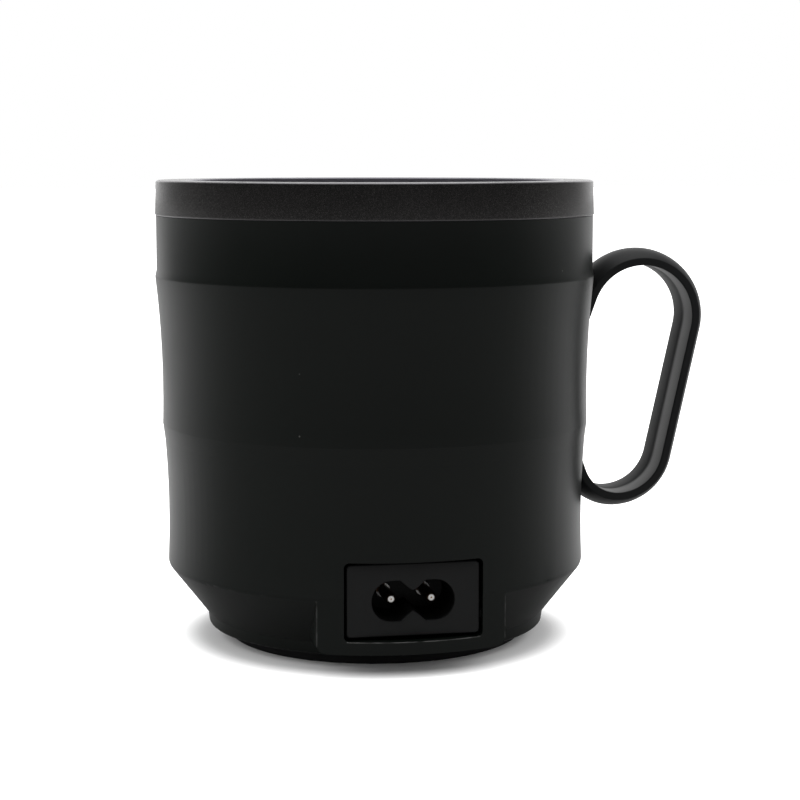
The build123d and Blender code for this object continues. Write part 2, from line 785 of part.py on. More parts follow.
# Fixed heating well
with BuildPart() as heating_well:
    with BuildSketch(Plane.XZ) as well_section:
        with BuildLine():
            Polyline((0, well_bottom), (well_radius, well_bottom), (well_radius, flange_seat),
                     (upstand_radius, flange_seat), (upstand_radius, well_top), (well_bore, well_top),
                     (well_bore, well_bottom + well_floor), (0, well_bottom + well_floor), close=True)
        make_face()
        fillet(well_section.vertices().sort_by_distance((well_radius, well_bottom))[0], radius=well_round)
        fillet(well_section.vertices().sort_by_distance((well_bore, well_bottom + well_floor))[0],
               radius=well_round - well_wall)
    revolve(axis=Axis.Z)
save(heating_well.part, "heating_well")

# Band heater: split ring with clamp lugs, and two terminals below them
heater_bottom = well_bottom + heater_lift
lug_bottom = heater_bottom + lug_lift
with BuildPart() as heater_band:
    with BuildSketch(Plane.XY.offset(heater_bottom)):
        Circle(heater_radius)
        Circle(heater_bore, mode=Mode.SUBTRACT)
        with Locations((heater_radius, 0)):
            Rectangle(heater_radius, heater_split, mode=Mode.SUBTRACT)
    extrude(amount=heater_height)
    for side in (-1, 1):
        with BuildSketch(Plane.XY.offset(lug_bottom)):
            with Locations((heater_bore + heater_thickness / 2, side * heater_split / 2)):
                Rectangle(heater_thickness / 2 + lug_reach, lug_thickness,
                          align=(BOTTOM, BOTTOM if side > 0 else TOP))
        extrude(amount=lug_height)
        with BuildSketch(Plane.XY.offset(heater_bottom)):
            with Locations((heater_bore + heater_thickness / 2, side * terminal_spacing / 2)):
                Rectangle(heater_thickness / 2 + terminal_reach, terminal_thickness, align=(BOTTOM, MIDDLE))
        extrude(amount=terminal_height)
    with BuildSketch(facing_front(heater_radius, lug_bottom + lug_height / 2)):
        with Locations((heater_radius + lug_reach / 2, 0)):
            Circle(pilot_radius)
    extrude(amount=2 * heater_radius, mode=Mode.SUBTRACT)
save(heater_band.part, "heater_band")

lug_face = heater_split / 2 + lug_thickness
with BuildPart() as band_screw:
    with BuildSketch(facing_front(lug_face, lug_bottom + lug_height / 2)):
        with Locations((heater_radius + lug_reach / 2, 0)):
            Circle(pilot_radius - peg_fit)
    extrude(amount=2 * lug_face + pilot_radius)
    with BuildSketch(facing_rear(lug_face, lug_bottom + lug_height / 2)):
        with Locations((-heater_radius - lug_reach / 2, 0)):
            Circle(lug_reach / 2)
    extrude(amount=pilot_radius)
    with BuildSketch(facing_front(-lug_face, lug_bottom + lug_height / 2)):
        with Locations((heater_radius + lug_reach / 2, 0)):
            RegularPolygon(lug_reach / 2, 6)
    extrude(amount=pilot_radius)
save(band_screw.part, "band_screw")

# Felt wrap round the heater, slit where the lugs stand out
with BuildPart() as insulation_wrap:
    with BuildSketch(Plane.XY.offset(well_bottom + wrap_lift)):
        Circle(wrap_radius)
        Circle(wrap_bore, mode=Mode.SUBTRACT)
        with Locations((wrap_radius, 0)):
            Rectangle(wrap_radius, wrap_slot, mode=Mode.SUBTRACT)
    extrude(amount=wrap_height)
save(insulation_wrap.part, "insulation_wrap")

# Heat shield on the posts, with vents, screws and a fold of sheet that presses the sensor up
with BuildPart() as heat_shield:
    with BuildSketch(Plane.XY.offset(post_top)):
        Circle(shield_radius)
        with PolarLocations(shield_vent_circle, shield_vent_count, start_angle=post_angle / 2):
            Circle(shield_vent_radius, mode=Mode.SUBTRACT)
        with PolarLocations(post_circle, post_count, start_angle=post_angle):
            Circle(pilot_radius + peg_fit, mode=Mode.SUBTRACT)
    extrude(amount=shield_thickness)
save(heat_shield.part, "heat_shield")

with BuildPart() as shield_screws:
    with BuildSketch(Plane.XY.offset(shield_top)):
        with PolarLocations(post_circle, post_count, start_angle=post_angle):
            Circle(shield_screw_head)
    extrude(amount=shield_screw_head_height)
    with BuildSketch(Plane.XY.offset(shield_top)):
        with PolarLocations(post_circle, post_count, start_angle=post_angle):
            Circle(pilot_radius - pilot_fit)
    extrude(amount=-shield_screw_length)
save(shield_screws.part, "shield_screws")

with BuildPart() as temperature_sensor:
    with Locations((0, 0, well_bottom)):
        Cylinder(sensor_radius, sensor_height, align=(MIDDLE, MIDDLE, TOP))
save(temperature_sensor.part, "temperature_sensor")

clip_low = shield_top + clip_thickness / 2
clip_high = well_bottom - sensor_height - clip_thickness / 2
with BuildPart() as sensor_clip:
    with BuildSketch(Plane.XZ):
        with BuildLine():
            FilletPolyline((-clip_half_span, clip_low), (clip_foot - clip_half_span, clip_low),
                           (-clip_flat, clip_high), (clip_flat, clip_high),
                           (clip_half_span - clip_foot, clip_low), (clip_half_span, clip_low),
                           radius=clip_bend)
        trace(line_width=clip_thickness)
    extrude(amount=clip_width / 2, both=True)
save(sensor_clip.part, "sensor_clip")

fuse_axis = well_bottom - fuse_radius
with BuildPart() as thermal_fuse:
    with BuildSketch(Plane.YZ):
        with Locations((-fuse_offset, fuse_axis)):
            Circle(fuse_radius)
    extrude(amount=fuse_length / 2, both=True)
save(thermal_fuse.part, "thermal_fuse")

with BuildPart() as fuse_strap:
    with BuildSketch(Plane.YZ):
        with Locations((-fuse_offset, fuse_axis)):
            Circle(fuse_radius + fuse_strap_thickness)
            Rectangle(2 * (fuse_radius + fuse_strap_thickness), fuse_radius, align=(MIDDLE, BOTTOM))
        with Locations((-fuse_offset, well_bottom)):
            Rectangle(2 * (fuse_radius + fuse_strap_thickness + fuse_strap_foot), fuse_strap_thickness,
                      align=(MIDDLE, TOP))
        with Locations((-fuse_offset, fuse_axis)):
            Circle(fuse_radius, mode=Mode.SUBTRACT)
            Rectangle(2 * fuse_radius, fuse_radius, align=(MIDDLE, BOTTOM), mode=Mode.SUBTRACT)
        with Locations((-fuse_offset, well_bottom)):
            Rectangle(4 * fuse_radius, fuse_radius, align=(MIDDLE, BOTTOM), mode=Mode.SUBTRACT)
    extrude(amount=fuse_strap_width / 2, both=True)
save(fuse_strap.part, "fuse_strap")

# Power board on the cover's posts
with BuildPart() as power_board:
    with BuildSketch(Plane.XY.offset(board_bottom)):
        with Locations((0, board_shift)):
            RectangleRounded(board_width, board_length, board_post_radius / 2)
            with GridLocations(board_post_spread_x, board_post_spread_y, 2, 2):
                Circle(board_screw_radius + peg_fit, mode=Mode.SUBTRACT)
    extrude(amount=board_thickness)
save(power_board.part, "power_board")

with BuildPart() as board_screws:
    with BuildSketch(Plane.XY.offset(board_top)):
        with Locations((0, board_shift)):
            with GridLocations(board_post_spread_x, board_post_spread_y, 2, 2):
                Circle(board_screw_head)
    extrude(amount=board_screw_head_height)
    with BuildSketch(Plane.XY.offset(board_top)):
        with Locations((0, board_shift)):
            with GridLocations(board_post_spread_x, board_post_spread_y, 2, 2):
                Circle(board_screw_radius - pilot_fit)
    extrude(amount=-board_thickness - board_lift + board_screw_radius)
save(board_screws.part, "board_screws")

with BuildPart() as power_relay:
    with Locations((*relay_place, board_top)):
        Box(*relay_size, align=ON_FLOOR)
    fillet(power_relay.edges().filter_by(Axis.Z), radius=inlet_corner)
save(power_relay.part, "power_relay")

with BuildPart() as supply_transformer:
    with Locations((*transformer_place, board_top)):
        Box(transformer_size[0] - 2 * core_proud, *transformer_size[1:], align=ON_FLOOR)
        Box(transformer_size[0], transformer_size[1] / 2, transformer_size[2] - 2 * core_proud,
            align=ON_FLOOR)
save(supply_transformer.part, "supply_transformer")

with BuildPart() as supply_capacitor:
    with Locations((*capacitor_place, board_top)):
        Cylinder(capacitor_radius, capacitor_height, align=ON_FLOOR)
    fillet(supply_capacitor.edges().group_by(Axis.Z)[-1], radius=inlet_corner)
save(supply_capacitor.part, "supply_capacitor")

cartridge_axis = board_top + cartridge_radius + cartridge_cap_proud
with BuildPart() as board_fuse:
    with BuildSketch(Plane.XZ.offset(-cartridge_place[1])):
        with Locations((cartridge_place[0], cartridge_axis)):
            Circle(cartridge_radius)
    extrude(amount=cartridge_length / 2, both=True)
    for side in (-1, 1):
        middle = cartridge_place[1] + side * (cartridge_length - cartridge_cap) / 2
        with BuildSketch(Plane.XZ.offset(-middle)):
            with Locations((cartridge_place[0], cartridge_axis)):
                Circle(cartridge_radius + cartridge_cap_proud)
        extrude(amount=cartridge_cap / 2, both=True)
save(board_fuse.part, "board_fuse")

# Lead connectors: mains block, heater block at the board's side, cable socket at its front edge
heater_block_x = board_width / 2 - heater_block_inset - heater_block_size[0] / 2
with BuildPart() as lead_connectors:
    with Locations((*mains_block_place, board_top)):
        Box(*mains_block_size, align=ON_FLOOR)
    with Locations((heater_block_x, 0, board_top)):
        Box(*heater_block_size, align=ON_FLOOR)
    with Locations((0, board_front, board_top)):
        Box(*socket_size, align=(MIDDLE, BOTTOM, BOTTOM))
save(lead_connectors.part, "lead_connectors")

# Leads from the inlet's tails to the board, and from the board to the heater's terminals
entry_level = board_top + lead_entry
tail_end = core_back - tail_length
mains_block_face = mains_block_place[1] + mains_block_size[1] / 2
mains_step = (tail_end - mains_block_face) / 3
with BuildPart() as mains_leads:
    for side in (-1, 1):
        lane = side * contact_half
        with BuildLine() as mains_route:
            FilletPolyline((lane, tail_end, inlet_height), (lane, tail_end - mains_step, inlet_height),
                           (lane, tail_end - 2 * mains_step, entry_level),
                           (lane, mains_block_face, entry_level), radius=mains_step)
        with BuildSketch(Plane(origin=mains_route.line @ 0, z_dir=mains_route.line % 0)):
            Circle(mains_lead_radius)
        sweep()
save(mains_leads.part, "mains_leads")

heater_block_face = heater_block_x + heater_block_size[0] / 2
terminal_x = heater_radius + terminal_reach - heater_lead_radius
lead_drop = heater_bottom - entry_level
with BuildPart() as heater_leads:
    for side in (-1, 1):
        lane = side * terminal_spacing / 2
        with BuildLine() as heater_route:
            FilletPolyline((terminal_x, lane, heater_bottom), (terminal_x, lane, entry_level + lead_drop / 2),
                           (terminal_x - lead_drop / 3, lane, entry_level),
                           (heater_block_face, lane, entry_level), radius=lead_drop / 3)
        with BuildSketch(Plane(origin=heater_route.line @ 0, z_dir=heater_route.line % 0)):
            Circle(heater_lead_radius)
        sweep()
save(heater_leads.part, "heater_leads")

# Control panel in its recess, on two posts that carry the display board
waist_share = 0.5 - (ridge_radius - middle_foot_radius) / (8 * middle_hollow)
waist_bore = band_radius(middle_band_foot + waist_share * middle_band_height) - wall
board_face = sqrt((waist_bore - display_board_gap) ** 2 - (display_board_width / 2) ** 2)
pane_middle = panel_bottom + window_pane_lift + window_pane_height / 2
key_level = panel_bottom + key_lift
key_places = [(-key_spacing, key_level), (0, key_level), (key_spacing, key_level)]
panel_post_level = panel_bottom + panel_post_lift
panel_post_places = [(-panel_post_spread, panel_post_level), (panel_post_spread, panel_post_level)]
panel_post_end = sqrt((band_radius(panel_post_level) - panel_sink) ** 2 - panel_post_spread ** 2)
with BuildPart() as control_panel:
    revolve(band_skin(panel_proud, -panel_sink), axis=Axis.Z)
    with BuildSketch(facing_front()):
        with Locations((0, panel_middle)):
            RectangleRounded(panel_width, panel_height, panel_corner)
        with Locations((0, pane_middle)):
            RectangleRounded(window_pane_width, window_pane_height, window_pane_corner, mode=Mode.SUBTRACT)
        with Locations(*key_places):
            Circle(key_radius + key_gap, mode=Mode.SUBTRACT)
    extrude(amount=2 * collar_radius, mode=Mode.INTERSECT)
    with BuildSketch(facing_front(-board_face)):
        with Locations(*panel_post_places):
            Circle(panel_post_radius)
    extrude(amount=panel_post_end + panel_thickness / 2 - board_face)
    with BuildSketch(facing_front(-board_face)):
        with Locations(*panel_post_places):
            Circle(display_screw_radius + pilot_fit)
    extrude(amount=display_screw_bite + pilot_fit, mode=Mode.SUBTRACT)
save(control_panel.part, "control_panel")

with BuildPart() as display_window:
    revolve(band_skin(panel_proud, panel_proud - pane_depth), axis=Axis.Z)
    with BuildSketch(facing_front()):
        with Locations((0, pane_middle)):
            RectangleRounded(window_pane_width - 2 * pane_gap, window_pane_height - 2 * pane_gap,
                             window_pane_corner - pane_gap)
    extrude(amount=2 * collar_radius, mode=Mode.INTERSECT)
save(display_window.part, "display_window")

# Keys: head through the panel, flange behind it, stem over the switch
stem_back = board_face + switch_base + dome_height + dome_gap + key_travel
flange_front = -panel_sink - key_flange_gap
flange_middle = flange_front - key_flange_thickness / 2
with BuildPart() as key_head_skin:
    revolve(band_skin(panel_proud + key_proud, flange_middle), axis=Axis.Z)
with BuildPart() as key_flange_skin:
    revolve(band_skin(flange_front, flange_front - key_flange_thickness), axis=Axis.Z)
for key_place, label in zip(key_places, ("minus_key", "power_key", "plus_key")):
    with BuildPart() as key_head:
        add(key_head_skin.part)
        with BuildSketch(facing_front()):
            with Locations(key_place):
                Circle(key_radius)
        extrude(amount=2 * collar_radius, mode=Mode.INTERSECT)
        fillet(key_head.faces().sort_by(Axis.Y)[0].edges(), radius=key_round)
    with BuildPart() as key_flange_disc:
        add(key_flange_skin.part)
        with BuildSketch(facing_front()):
            with Locations(key_place):
                Circle(key_radius + key_flange)
        extrude(amount=2 * collar_radius, mode=Mode.INTERSECT)
    stem_end = sqrt((waist_bore + wall + flange_middle) ** 2 - (abs(key_place[0]) + key_stem_radius) ** 2)
    with BuildPart() as key:
        add(key_head.part)
        add(key_flange_disc.part)
        with BuildSketch(facing_front(-stem_back)):
            with Locations(key_place):
                Circle(key_stem_radius)
        extrude(amount=stem_end - stem_back)
    save(key.part, label)

# Display board on the panel's posts, with the digits, the switches and the screws
board_back = board_face - display_board_thickness
display_board_bottom = panel_bottom + display_board_lift
with BuildPart() as display_board:
    with BuildSketch(facing_front(-board_back)):
        with Locations((0, display_board_bottom)):
            Rectangle(display_board_width, display_board_height, align=(MIDDLE, BOTTOM))
        with Locations(*panel_post_places):
            Circle(display_screw_radius + peg_fit, mode=Mode.SUBTRACT)
    extrude(amount=display_board_thickness)
save(display_board.part, "display_board")

with BuildPart() as display_module:
    with BuildSketch(facing_front(-board_face)):
        with Locations((0, pane_middle)):
            Rectangle(module_width, module_height)
    extrude(amount=module_thickness)
    with BuildSketch(facing_front(-board_face - module_thickness)):
        with Locations((0, pane_middle)):
            with GridLocations(module_width / digit_count, 0, digit_count, 1):
                Rectangle(digit_width, digit_height)
    extrude(amount=-digit_depth, mode=Mode.SUBTRACT)
save(display_module.part, "display_module")

with BuildPart() as key_switches:
    with BuildSketch(facing_front(-board_face)):
        with Locations(*key_places):
            Rectangle(switch_size, switch_size)
    extrude(amount=switch_base)
    with BuildSketch(facing_front(-board_face - switch_base)):
        with Locations(*key_places):
            Circle(dome_radius)
    extrude(amount=dome_height)
save(key_switches.part, "key_switches")

with BuildPart() as display_screws:
    with BuildSketch(facing_front(-board_back)):
        with Locations(*panel_post_places):
            Circle(display_screw_radius)
    extrude(amount=display_board_thickness + display_screw_bite)
    with BuildSketch(facing_front(display_screw_head_height - board_back)):
        with Locations(*panel_post_places):
            Circle(display_screw_head)
    extrude(amount=display_screw_head_height)
save(display_screws.part, "display_screws")

# Flat cable from the socket up to the display board's lower edge
cable_level = board_top + socket_size[2] / 2
cable_lane = board_face - display_board_thickness / 2
with BuildPart() as display_cable:
    with BuildSketch(Plane.YZ):
        with BuildLine():
            FilletPolyline((board_front, cable_level), (board_front - cable_run, cable_level),
                           (-cable_lane, shield_top), (-cable_lane, display_board_bottom),
                           radius=cable_bend)
        trace(line_width=cable_thickness)
    extrude(amount=cable_width / 2, both=True)
save(display_cable.part, "display_cable")

# Lift-out pot with two ears for the bail
pivot_level = pot_rim_top + bail_rest_gap + bail_wire
ear_middle = pot_radius + ear_offset + ear_thickness / 2
with BuildPart() as inner_pot:
    with BuildSketch(Plane.XZ) as pot_section:
        with BuildLine():
            Polyline((0, pot_bottom), (pot_radius, pot_bottom), (pot_radius, pot_rim_foot),
                     (pot_rim_radius, pot_rim_foot), (pot_rim_radius, pot_rim_top), (pot_bore, pot_rim_top),
                     (pot_bore, pot_bottom + pot_wall), (0, pot_bottom + pot_wall), close=True)
        make_face()
        fillet(pot_section.vertices().sort_by_distance((pot_radius, pot_bottom))[0], radius=pot_round)
        fillet(pot_section.vertices().sort_by_distance((pot_bore, pot_bottom + pot_wall))[0],
               radius=pot_round - pot_wall)
        fillet(pot_section.vertices().sort_by_distance((pot_bore, pot_rim_top))[0], radius=pot_lip_round)
        fillet(pot_section.vertices().sort_by_distance((pot_rim_radius, pot_rim_top))[0],
               radius=pot_lip_round)
    revolve(axis=Axis.Z)
    for side in (-1, 1):
        with BuildSketch(Plane.YZ.offset(side * ear_middle)):
            with Locations((0, pivot_level)):
                Circle(ear_width / 2)
                Rectangle(ear_width, pivot_level - pot_rim_top + rim_thickness / 2, align=(MIDDLE, TOP))
                Circle(bail_wire + bail_fit, mode=Mode.SUBTRACT)
        extrude(amount=ear_thickness / 2, both=True)
save(inner_pot.part, "inner_pot")

# Wire bail, folded to the rear over the pot's rim, its ends bent in through the ears
bail_reach = pot_rim_radius - bail_inset
bend_reach = sqrt((bail_reach - bail_bend) ** 2 - bail_bend ** 2)
bend_turn = degrees(atan2(bail_bend, bend_reach))
tip_reach = pot_radius + ear_offset - bail_tip
with BuildPart() as bail_handle:
    with BuildLine(Plane.XY.offset(pivot_level)):
        Line((tip_reach, 0), (bend_reach, 0))
        CenterArc((bend_reach, bail_bend), bail_bend, -90, 90 + bend_turn)
        CenterArc((0, 0), bail_reach, bend_turn, 180 - 2 * bend_turn)
        CenterArc((-bend_reach, bail_bend), bail_bend, 180 - bend_turn, 90 + bend_turn)
        Line((-bend_reach, 0), (-tip_reach, 0))
    with BuildSketch(Plane(origin=(tip_reach, 0, pivot_level), z_dir=(1, 0, 0))):
        Circle(bail_wire)
    sweep()
save(bail_handle.part, "bail_handle")
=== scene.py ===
"""Looks of a banded wax melting pot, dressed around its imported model.

Sizes in the classes are millimetres in the part's own frame: +Z up, the mains inlet towards +Y, the strap
handle towards -X, the control panel towards -Y. Meshes are written in metres.
"""
from __future__ import annotations

import json
import logging
import math
from abc import ABC, abstractmethod
from dataclasses import dataclass, field
from enum import Enum
from functools import cached_property
from typing import Any, Callable, Sequence

import bmesh
import bpy
import numpy as np
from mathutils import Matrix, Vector


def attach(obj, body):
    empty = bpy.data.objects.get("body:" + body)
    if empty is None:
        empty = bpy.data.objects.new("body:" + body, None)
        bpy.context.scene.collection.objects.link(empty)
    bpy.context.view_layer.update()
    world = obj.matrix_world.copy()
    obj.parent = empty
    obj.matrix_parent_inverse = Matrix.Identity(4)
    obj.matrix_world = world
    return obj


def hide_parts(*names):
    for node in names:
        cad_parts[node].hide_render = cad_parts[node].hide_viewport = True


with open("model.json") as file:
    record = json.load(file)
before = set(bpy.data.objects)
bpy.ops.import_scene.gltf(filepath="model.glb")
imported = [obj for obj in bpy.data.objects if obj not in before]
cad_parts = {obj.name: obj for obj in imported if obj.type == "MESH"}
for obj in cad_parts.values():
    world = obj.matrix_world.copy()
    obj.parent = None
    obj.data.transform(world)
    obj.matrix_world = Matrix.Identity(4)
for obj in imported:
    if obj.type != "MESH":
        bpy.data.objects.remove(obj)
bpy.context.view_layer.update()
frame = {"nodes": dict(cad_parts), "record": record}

log = logging.getLogger("wax_pot")
MM = 0.001
Points = np.ndarray
Stacks = Sequence[tuple[Points, bool]]
Pair = tuple[float, float]
Triple = tuple[float, float, float]
Color = Triple
Socket = bpy.types.NodeSocket
Term = Any


# Forms


def arc(centre: Pair, radius: float, start: float, sweep: float, count: int) -> Points:
    """Arc of centre + radius * (cos a, sin a), where a runs from start by sweep degrees."""
    a = np.radians(np.linspace(start, start + sweep, count))
    return np.stack([centre[0] + radius * np.cos(a), centre[1] + radius * np.sin(a)], axis=-1)


def full_turn(count: int) -> Points:
    """Even directions round a circle, in radians."""
    return np.linspace(0, 2 * np.pi, count, endpoint=False)


def rounded_polygon(corners: Sequence[Triple], steps: int = 7) -> Points:
    """Closed polygon whose corners are rounded by arcs tangent to both sides.

    Args:
        corners: One (x, y, radius) for each corner, in order round the polygon.
        steps: Points on each rounded corner.

    Returns:
        The outline's points in order. A radius of zero keeps its corner sharp.
    """
    xy = np.array([c[:2] for c in corners], float)
    out = []
    for k, (x, y, radius) in enumerate(corners):
        here = xy[k]
        back, ahead = xy[k - 1] - here, xy[(k + 1) % len(xy)] - here
        back, ahead = back / np.linalg.norm(back), ahead / np.linalg.norm(ahead)
        half = math.acos(float(np.clip(back @ ahead, -1, 1))) / 2
        if radius <= 0 or half > math.radians(89.5):
            out.append(here[None, :])
            continue
        middle = (back + ahead) / np.linalg.norm(back + ahead)
        centre = here + middle * radius / math.sin(half)
        run = radius / math.tan(half)
        a, b = here + back * run - centre, here + ahead * run - centre
        turn = math.atan2(a[0] * b[1] - a[1] * b[0], float(a @ b))
        angles = np.linspace(0, turn, steps)
        c, s = np.cos(angles), np.sin(angles)
        out.append(centre + np.stack([a[0] * c - a[1] * s, a[0] * s + a[1] * c], axis=-1))
    return np.concatenate(out)


def polar_rectangle(angles: Points, half_width: float, half_height: float, corner: float) -> Points:
    """Distance from the centre of a rounded rectangle to its outline, in each direction.

    A ray meets either an upright side, a level side or the corner circle. All three are worked out and
    the one that lies on the outline is kept.

    Args:
        angles: Directions in radians.
        half_width: Half the width.
        half_height: Half the height.
        corner: Corner radius.

    Returns:
        One distance for each direction.
    """
    c, s = np.abs(np.cos(angles)) + 1e-9, np.abs(np.sin(angles)) + 1e-9
    a, b = half_width - corner, half_height - corner
    side, level = half_width / c, half_height / s
    dot = c * a + s * b
    round_ = dot + np.sqrt(np.maximum(dot * dot - (a * a + b * b - corner * corner), 0))
    return np.where(side * s <= b, side, np.where(level * c <= a, level, round_))


def polar_ring(angles: Points, distance: Points) -> Points:
    """Points at a distance from the centre in each direction, as (x, y) rows."""
    return np.stack([distance * np.cos(angles), distance * np.sin(angles)], axis=-1)


def revolve(profile: Points, columns: int = 256) -> Points:
    """Loops of a profile turned about +Z: (r sin t, r cos t, z).

    Args:
        profile: Rows of (radius, height).
        columns: Number of even steps round.

    Returns:
        An array of loops, one for each row of the profile.
    """
    t = full_turn(columns)
    r, z = profile[:, :1], profile[:, 1:]
    return np.stack([r * np.sin(t), r * np.cos(t), z + 0 * t], axis=-1)


def turned_along_y(profile: Points, x: float, z: float, columns: int = 48) -> Points:
    """Loops of a profile of (radius, y) rows turned about a line along +Y through (x, z)."""
    return revolve(profile, columns)[..., (1, 2, 0)] + (x, 0, z)


def upright_loops(outlines: Sequence[tuple[Points, float]]) -> Points:
    """Loops from flat outlines of (x, z) rows, each stood upright at its own y."""
    return np.stack([np.column_stack([flat[:, 0], np.full(len(flat), y), flat[:, 1]])
                     for flat, y in outlines])


def tube(path: Points, radius: float, columns: int = 28, nose: float = 0.4) -> Points:
    """Loops of a round wire along a level path: path + radius * (cos t * side + sin t * up).

    The radius falls to nothing over the wire's last bit at each end as the quarter of an ellipse.

    Args:
        path: Rows of (x, y, z), all at one height.
        radius: Radius of the wire.
        columns: Points round the wire.
        nose: Length over which each end is rounded.

    Returns:
        An array of loops, the first and the last shrunk to a point.
    """
    along = np.gradient(path, axis=0)
    along /= np.linalg.norm(along, axis=1, keepdims=True)
    up = np.array([0.0, 0.0, 1.0])
    side = np.cross(along, up)
    t = full_turn(columns)
    run = np.concatenate([[0], np.cumsum(np.linalg.norm(np.diff(path, axis=0), axis=1))])
    left = np.minimum(np.minimum(run, run[-1] - run) / nose, 1.0)
    reach = radius * np.sqrt(1 - (1 - left) ** 2)
    ring = np.cos(t)[None, :, None] * side[:, None, :] + np.sin(t)[None, :, None] * up
    return path[:, None, :] + reach[:, None, None] * ring


def capped(loops: Points) -> Points:
    """Loops with the first and the last closed at their middles."""
    ends = [np.broadcast_to(loop.mean(axis=0), (1, *loop.shape)) for loop in (loops[0], loops[-1])]
    return np.concatenate([ends[0], loops, ends[1]])


def loop_faces(count: int, size: int, ring: bool, start: int) -> Points:
    """Quads between each loop and the next: point j of loop i, its neighbour, and the two after them.

    Args:
        count: Number of loops.
        size: Points in each loop.
        ring: Whether the last loop joins the first.
        start: Number of points before this stack.

    Returns:
        Rows of four point numbers.
    """
    i = np.arange(count if ring else count - 1)[:, None]
    j = np.arange(size)[None, :]
    after = (i + 1) % count
    quad = [i * size + j, i * size + (j + 1) % size, after * size + (j + 1) % size, after * size + j]
    return start + np.stack(quad, axis=-1).reshape(-1, 4)


def placed(name: str, data: bpy.types.ID) -> bpy.types.Object:
    """New object over its data, linked to the scene.

    Args:
        name: Name of the object.
        data: Its mesh, lamp or camera.

    Returns:
        The object.
    """
    obj = bpy.data.objects.new(name, data)
    bpy.context.scene.collection.objects.link(obj)
    return obj


def shade_smooth(mesh: bpy.types.Mesh) -> None:
    """Shades every face of a mesh smooth."""
    mesh.polygons.foreach_set("use_smooth", np.ones(len(mesh.polygons), bool))


def mesh_from_stacks(name: str, stacks: Stacks, crease: float) -> bpy.types.Object:
    """Object made of closed skins, each a stack of loops.

    Points that fall together, as at a pole, are merged, the faces are turned outwards, and edges sharper
    than the crease angle are kept hard.

    Args:
        name: Name of the piece.
        stacks: Pairs of a loop array in millimetres and whether its last loop joins its first.
        crease: Angle in degrees above which an edge stays hard.

    Returns:
        The new object, linked to the scene, with its place in its mesh.
    """
    points, faces, start = [], [], 0
    for loops, ring in stacks:
        count, size = loops.shape[:2]
        points.append(loops.reshape(-1, 3) * MM)
        faces.append(loop_faces(count, size, ring, start))
        start += count * size
    mesh = bpy.data.meshes.new(name)
    mesh.from_pydata(np.concatenate(points).tolist(), [], np.concatenate(faces).tolist())
    shell = bmesh.new()
    shell.from_mesh(mesh)
    bmesh.ops.remove_doubles(shell, verts=shell.verts, dist=1e-7)
    bmesh.ops.recalc_face_normals(shell, faces=shell.faces)
    shell.to_mesh(mesh)
    shell.free()
    shade_smooth(mesh)
    mesh.set_sharp_from_angle(angle=math.radians(crease))
    mesh.update()
    return placed(name, mesh)


# Finishes


def operator(operation: str, swapped: bool = False) -> Callable[..., Value]:
    """Method of Value that adds a Math node over the number and another term.

    Args:
        operation: Blender's name of the operation.
        swapped: Whether the other term comes first, as for a difference from a plain number.

    Returns:
        The method.
    """
    def method(value: Value, *others: Term) -> Value:
        """Adds the node and returns its result."""
        terms = (*others, value) if swapped else (value, *others)
        return value.graph.math(operation, *terms)
    return method


@dataclass(frozen=True)
class Value:
    """A number in a material's graph, held by its socket, that takes part in Python expressions."""

    graph: Graph
    socket: Socket

    __add__ = __radd__ = operator("ADD")
    __sub__, __rsub__ = operator("SUBTRACT"), operator("SUBTRACT", swapped=True)
    __mul__ = __rmul__ = operator("MULTIPLY")
    __truediv__ = operator("DIVIDE")
    __pow__ = operator("POWER")
    __abs__ = operator("ABSOLUTE")
    above = operator("GREATER_THAN")

    def step(self, low: float, high: float) -> Value:
        """Smooth rise from zero at low to one at high: u^2 (3 - 2u), with u the share of the way.

        Args:
            low: Where the rise starts.
            high: Where it ends, which may be lower than low.

        Returns:
            The share.
        """
        node = self.graph.node("ShaderNodeMapRange", {"interpolation_type": "SMOOTHSTEP"},
                               {"Value": self, "From Min": low, "From Max": high})
        return Value(self.graph, node.outputs["Result"])

    def fade(self, share: float, low: float, high: float) -> Value:
        """Smooth rise from zero at low to a share at high."""
        return self.step(low, high) * share


